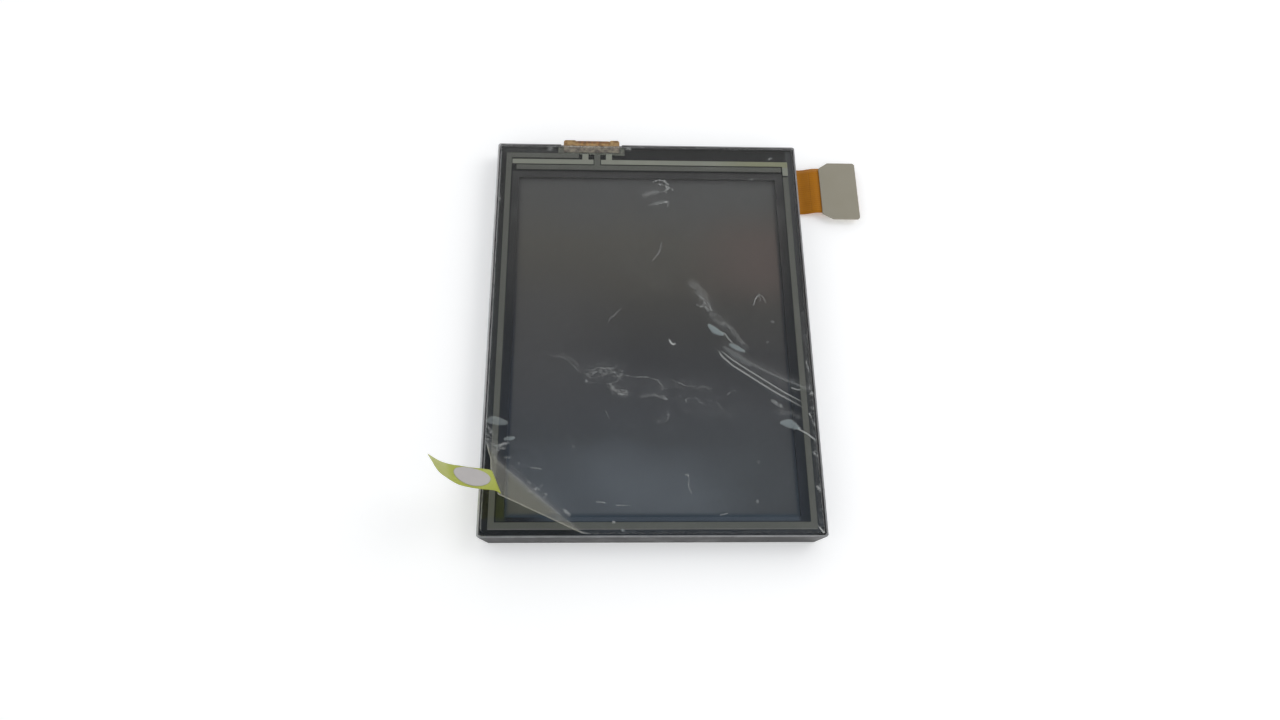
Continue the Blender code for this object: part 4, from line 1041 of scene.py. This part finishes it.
def film_marks(x, y):
    """Heights of the film over its plane, and the layers its material reads."""
    across = x - LEFT
    down = TOP - y
    height = np.zeros(x.shape)
    ridge = np.zeros(x.shape)
    bubble = np.zeros(x.shape)
    smear = np.zeros(x.shape)
    layers = {}
    for number, (path, _, bright) in enumerate(LINES):
        gap, share, side = near_path(across, down, path)
        drawn = (gap * side, bright * tapered(share), np.zeros(x.shape))
        layers[f"line_{number}"] = np.stack(drawn, axis=-1)
    widths_away = np.full(x.shape, STROKE_REACH)
    stroke_bright = np.zeros(x.shape)
    for path, half_width, bright in STROKES:
        gap, _, _ = near_path(across, down, path)
        nearer = gap / half_width < widths_away
        widths_away = np.where(nearer, gap / half_width, widths_away)
        stroke_bright = np.where(nearer, bright, stroke_bright)
    layers["stroke"] = np.stack([widths_away, stroke_bright, np.zeros(x.shape)], axis=-1)
    for path, half_width, rise, bright in RIDGES:
        gap, share, _ = near_path(across, down, path)
        profile = bell(gap, half_width) * (0.35 + 0.65 * tapered(share))
        height = np.maximum(height, rise * profile)
        ridge = np.maximum(ridge, bright * profile)
    for path, half_width, rise, bright in BUBBLES:
        gap, share, _ = near_path(across, down, path)
        width = half_width * (0.45 + 0.55 * np.sin(np.pi * share))
        profile = 1.0 - smooth_share(gap, width * 0.90, width * 1.25)
        height = np.maximum(height, rise * profile)
        bubble = np.maximum(bubble, bright * profile)
    for path, half_width, strength in SMEARS:
        gap, _, _ = near_path(across, down, path)
        smear = np.maximum(smear, strength * bell(gap, half_width))
    for (place_x, place_y), half_width, bright in SPECKS:
        gap = np.hypot(across - place_x, down - place_y)
        ridge = np.maximum(ridge, bright * bell(gap, half_width))
    layers.update(ridge=ridge, bubble=bubble, smear=smear)
    return height, layers


def crease_frame():
    """The crease's first point, unit vectors along it and outwards past it, and its length."""
    start = np.array(CREASE_START)
    run = np.array(CREASE_END) - start
    length = np.hypot(*run)
    along = run / length
    return start, along, np.array((along[1], -along[0])), length


def to_crease(x, y):
    """How far points are along the crease, and how far past it."""
    start, along, outward, _ = crease_frame()
    run = (x - start[0]) * along[0] + (y - start[1]) * along[1]
    past = (x - start[0]) * outward[0] + (y - start[1]) * outward[1]
    return run, past


def from_crease(run, past, height):
    """Points, from how far they are along and past the crease and how high over the film's middle."""
    start, along, outward, _ = crease_frame()
    x = start[0] + run * along[0] + past * outward[0]
    y = start[1] + run * along[1] + past * outward[1]
    return np.stack([x, y, FILM_MIDDLE + height], axis=-1)


def turn_up(x, y, over):
    """Bends the flat film's points up about the crease, with its free left edge curled up further.

    Over is each point's height over the film's middle. It returns the bent points, and how far each of them
    is past the crease.
    """
    _, _, _, length = crease_frame()
    run, past = to_crease(x, y)
    share = np.clip(run / length, 0.0, 1.0)
    radius = CREASE_RADIUS[0] + (CREASE_RADIUS[1] - CREASE_RADIUS[0]) * share
    full = PEEL_ANGLE + EDGE_CURL * (1.0 - smooth_share(run, 0.0, EDGE_CURL_RUN))
    reach = radius * np.tan(full / 2)
    angle = np.clip((past + reach) / (2 * reach), 0.0, 1.0) * full
    before_and_in_bend = [past < -reach, past < reach]
    level = np.select(before_and_in_bend, [past, radius * np.sin(angle) - reach], past * np.cos(full))
    rise = np.select(before_and_in_bend, [0.0, radius * (1.0 - np.cos(angle))], past * np.sin(full))
    level = level - over * np.sin(angle)
    rise = rise + over * np.cos(angle)
    return from_crease(run, level, rise), past


def make_cover_film(looks):
    """The protective film as one sheet, with its wrinkles and bubbles and its turned-up corner."""
    columns = int(round((FILM_RIGHT - FILM_LEFT) / FILM_STEP)) + 1
    rows = int(round((FILM_TOP - FILM_BOTTOM) / FILM_STEP)) + 1
    across, up = np.linspace(FILM_RIGHT, FILM_LEFT, columns), np.linspace(FILM_BOTTOM, FILM_TOP, rows)
    x, y = np.meshgrid(across, up)
    trim = EDGE_TRIM * smooth_share(CREASE_START[1] - y, 0.5, 5.0)
    x = x + trim * smooth_share(x, FILM_LEFT + 3.0, FILM_LEFT)
    height, layers = film_marks(x, y)
    left = x - FILM_LEFT - trim
    from_side = np.minimum.reduce([left, FILM_RIGHT - x, y - FILM_BOTTOM, FILM_TOP - y])
    height *= smooth_share(from_side, 0.0, 1.0)
    middle, past = turn_up(x, y, height)
    layers["lifted"] = smooth_share(past, -0.3, 0.9)
    layers["rim"] = (1.0 - smooth_share(from_side, 0.05, 0.45)) * smooth_share(past, -1.2, 0.2)
    flat = np.stack([x, y, np.zeros(x.shape)], axis=-1)
    film = make_sheet("cover_film", middle, FILM_THICKNESS, looks["cover_film"], flat, layers)
    replaced = ("protective_film", "film_corner_flap")
    ride_joint(film, replaced)


def tab_drop(distance):
    """How far the tab hangs below the film's plane, at a distance beyond the film's edge."""
    fine = np.linspace(*TAB_SLOPE_RANGE, TAB_SLOPE_SAMPLES)
    ease = smooth_share(fine, -0.5, 0.8)
    slope = ease * np.clip(1.0 - fine / TAB_DROOP_LENGTH, -0.3, 1.0) * 2.0 * TAB_DROOP / TAB_DROOP_LENGTH
    total = np.concatenate([[0.0], np.cumsum((slope[1:] + slope[:-1]) / 2 * (fine[1] - fine[0]))])
    return np.interp(distance, fine, total)


def on_tab(distance, up, over):
    """Points of the tab's plane, turned up with the film's corner."""
    slope = np.arctan((tab_drop(distance + 0.05) - tab_drop(distance - 0.05)) / 0.1)
    x = FILM_LEFT - distance - over * np.sin(slope)
    y = FILM_BOTTOM + up
    height = TAB_LIFT - tab_drop(distance) + over * np.cos(slope)
    run, past = to_crease(x, y)
    level = past * math.cos(PEEL_ANGLE) - height * math.sin(PEEL_ANGLE)
    rise = past * math.sin(PEEL_ANGLE) + height * math.cos(PEEL_ANGLE)
    return from_crease(run, level, rise)


def tab_edge(points, distance):
    """How far up a long edge of the tab is, at a distance beyond the film's edge."""
    fine = np.linspace(TAB_ROOT_LOWER, TAB_END, TAB_EDGE_SAMPLES)
    up = np.interp(fine, *zip(*points))
    kernel = np.hanning(TAB_EDGE_SMOOTHING)
    padded = np.pad(up, TAB_EDGE_SMOOTHING // 2, mode="reflect", reflect_type="odd")
    return np.interp(distance, fine, np.convolve(padded, kernel / kernel.sum(), "valid"))


def tab_bow(distance, up):
    """How far the middle of the tab's free end bows out of its plane."""
    return TAB_BOW * smooth_share(distance, TAB_BOW_FROM, TAB_END) * np.sin(up / TAB_WIDTH * math.pi)


def make_pull_tab(looks):
    """The tape tab, from its slanted root on the film to its free end, and the round label on it."""
    share = np.linspace(0.0, 1.0, TAB_COLUMNS)[None, :]
    root = TAB_ROOT_LOWER + (TAB_ROOT_UPPER - TAB_ROOT_LOWER) * share
    along = root + (TAB_END - root) * np.linspace(0.0, 1.0, TAB_ROWS)[:, None]
    lower, upper = tab_edge(TAB_LOWER_EDGE, along), tab_edge(TAB_UPPER_EDGE, along)
    up = lower + (upper - lower) * share
    middle = on_tab(along, up, tab_bow(along, up))
    flat = np.stack([along, up, np.zeros(up.shape)], axis=-1)
    tab = make_sheet("pull_tab_strip", middle, TAB_THICKNESS, looks["tab"], flat)

    turns = np.linspace(0.0, 2 * math.pi, LABEL_SIDES + 1)[:-1]
    radius = LABEL_RADIUS * np.array(LABEL_RINGS)[:, None]
    along = LABEL_CENTRE[0] + radius * np.cos(turns)[None, :]
    up = LABEL_CENTRE[1] + radius * np.sin(turns)[None, :]
    label = make_disc("round_label", along, up, looks["sticker"])

    ride_joint(tab, ("pull_tab_root", "pull_tab"))
    ride_joint(label, ("round_sticker",))


def make_disc(name, along, up, look):
    """A round label that follows the tab's face, as a closed thin sheet of rings."""
    rings, count = along.shape
    base = TAB_THICKNESS / 2 + LABEL_GAP + tab_bow(along, up)
    low = on_tab(along, up, base)
    high = on_tab(along, up, base + LABEL_THICKNESS)
    points = np.concatenate([high.reshape(-1, 3), low.reshape(-1, 3)])
    under = rings * count
    edge = (rings - 1) * count
    faces = [tuple(reversed(range(count))), tuple(under + turn for turn in range(count))]
    for turn in range(count):
        after = (turn + 1) % count
        faces.append((edge + after, under + edge + after, under + edge + turn, edge + turn))
        for ring in range(0, edge, count):
            quad = (ring + after, ring + count + after, ring + count + turn, ring + turn)
            faces.append(quad)
            faces.append(tuple(under + corner for corner in reversed(quad)))
    smooth = np.array([len(face) < 5 for face in faces])
    disc = make_mesh(name, points, faces, look, smooth)
    add_layer(disc, "flat", np.stack([along, up, np.zeros(up.shape)], axis=-1))
    return disc


def tail_height(x):
    """Height of the flex tail's middle."""
    return TAIL_LOW + (TAIL_HIGH - TAIL_LOW) * smooth_share(x, *TAIL_RISE)


def make_tail_piece(name, start, end, steps, looks):
    """A stretch of the flex tail."""
    x = np.linspace(start, end, steps)
    y = np.linspace(-TAIL_WIDTH / 2, TAIL_WIDTH / 2, TAIL_ROWS) + TAIL_CENTRE_Y
    grid_x, grid_y = np.meshgrid(x, y, indexing="ij")
    middle = np.stack([grid_x, grid_y, tail_height(grid_x)], axis=-1)
    return make_sheet(name, middle, FLEX_THICKNESS, looks["tail"], middle)


def make_tail(looks):
    """The flex tail as two stretches in place of the CAD's ribbon and head flex, rising just outside the
    right wall.
    """
    inner = make_tail_piece("tail_flex_inner", TAIL_START, TAIL_SPLIT, TAIL_INNER_STEPS, looks)
    ride_joint(inner, ("flex_ribbon",))
    outer = make_tail_piece("tail_flex_outer", TAIL_SPLIT, TAIL_END, TAIL_OUTER_STEPS, looks)
    ride_joint(outer, ("head_flex",))


def soften(name, width):
    """Rounds the edges of a CAD node, whose faces are joined first."""
    node = frame["nodes"][name]
    weld = node.modifiers.new("weld", "WELD")
    weld.merge_threshold = WELD_REACH * MM
    bevel = node.modifiers.new("bevel", "BEVEL")
    bevel.width = width * MM
    bevel.segments = 2
    bevel.limit_method = "ANGLE"
    bevel.angle_limit = SHARP_ANGLE


def dress_frame(looks):
    """Gives every CAD node the material of its slot, and rounds the edges that show."""
    for row in frame["record"]["subparts"]:
        node = frame["nodes"][row["node"]]
        look = looks["screen"] if row["node"] == "front_polarizer" else looks[row["material_slot"]]
        for slot in node.material_slots:
            slot.material = look
    for name, width in (
        ("rear_shield", 0.07),
        ("flex_stiffener", 0.06),
        ("connector_housing", 0.08),
        ("touch_flex", 0.02),
        ("mould_frame", 0.05),
    ):
        soften(name, width)


# ---- Studio ----


def make_floor():
    """A plain pale floor that only shows from above."""
    look = Look("floor")
    colour = look.mix(look.noise(60.0, 3.0), grey(249), grey(251))
    extra = {"Specular IOR Level": 0.0, "Emission Color": grey(255), "Emission Strength": FLOOR_GLOW}
    pale = look.solid(colour, 0.9, 0.0, look.bump(look.noise(0.6, 2.0), 0.05), extra)
    clear = look.node("BsdfTransparent").outputs[0]
    behind = look.node("NewGeometry").outputs["Backfacing"]
    half = FLOOR_SIZE / 2
    corners = [(-half, -half), (half, -half), (half, half), (-half, half)]
    points = np.array([(x, y, -FLOOR_GAP) for x, y in corners])
    seen_from_above = look.done(look.blend(behind, pale, clear))
    make_mesh("floor", points, [(0, 1, 2, 3)], seen_from_above, [False])


def make_light():
    """Soft light from all round, with a dimmer ceiling, and a softbox high on the right."""
    world = bpy.data.worlds.new("studio")
    world.use_nodes = True
    tree = world.node_tree
    tree.nodes.clear()
    kinds = ("TexCoord", "SeparateXYZ", "ValToRGB", "Background", "OutputWorld")
    place, split, ramp, background, output = (tree.nodes.new("ShaderNode" + kind) for kind in kinds)
    for source, target in (
        (place.outputs["Generated"], split),
        (split.outputs["Z"], ramp),
        (ramp.outputs["Color"], background),
        (background.outputs["Background"], output),
    ):
        tree.links.new(source, target.inputs[0])
    fill_ramp(ramp, SKY)
    background.inputs["Strength"].default_value = WORLD_STRENGTH
    bpy.context.scene.world = world

    softbox = bpy.data.lights.new("softbox", "AREA")
    softbox.size = SOFTBOX_SIZE * MM
    softbox.energy = SOFTBOX_POWER
    holder = bpy.data.objects.new("softbox", softbox)
    bpy.context.scene.collection.objects.link(holder)
    direction = Vector(SOFTBOX_FROM).normalized()
    holder.location = direction * SOFTBOX_DISTANCE * MM
    holder.rotation_euler = direction.to_track_quat("Z", "Y").to_euler()


def make_camera():
    """The camera at the viewing angle of the reference."""
    data = bpy.data.cameras.new("camera")
    data.lens = LENS
    data.sensor_width = SENSOR_WIDTH
    data.sensor_fit = "HORIZONTAL"
    data.clip_start, data.clip_end = CAMERA_RANGE
    camera = bpy.data.objects.new("camera", data)
    bpy.context.scene.collection.objects.link(camera)
    camera.location = Vector(CAMERA_PLACE) * MM
    camera.rotation_euler = [math.radians(angle) for angle in CAMERA_TURN]
    bpy.context.scene.camera = camera


def main():
    """Dresses the CAD parts, adds the bent sheets, and sets up the studio."""
    looks = make_looks()
    looks["screen"] = screen_look()
    looks["tail"] = flex_look("tail", "flat")
    dress_frame(looks)
    make_cover_film(looks)
    make_pull_tab(looks)
    make_tail(looks)
    make_floor()
    make_light()
    make_camera()
    scene = bpy.context.scene
    scene.view_settings.view_transform = "Standard"
    scene.cycles.transparent_max_bounces = CLEAR_SURFACES


main()
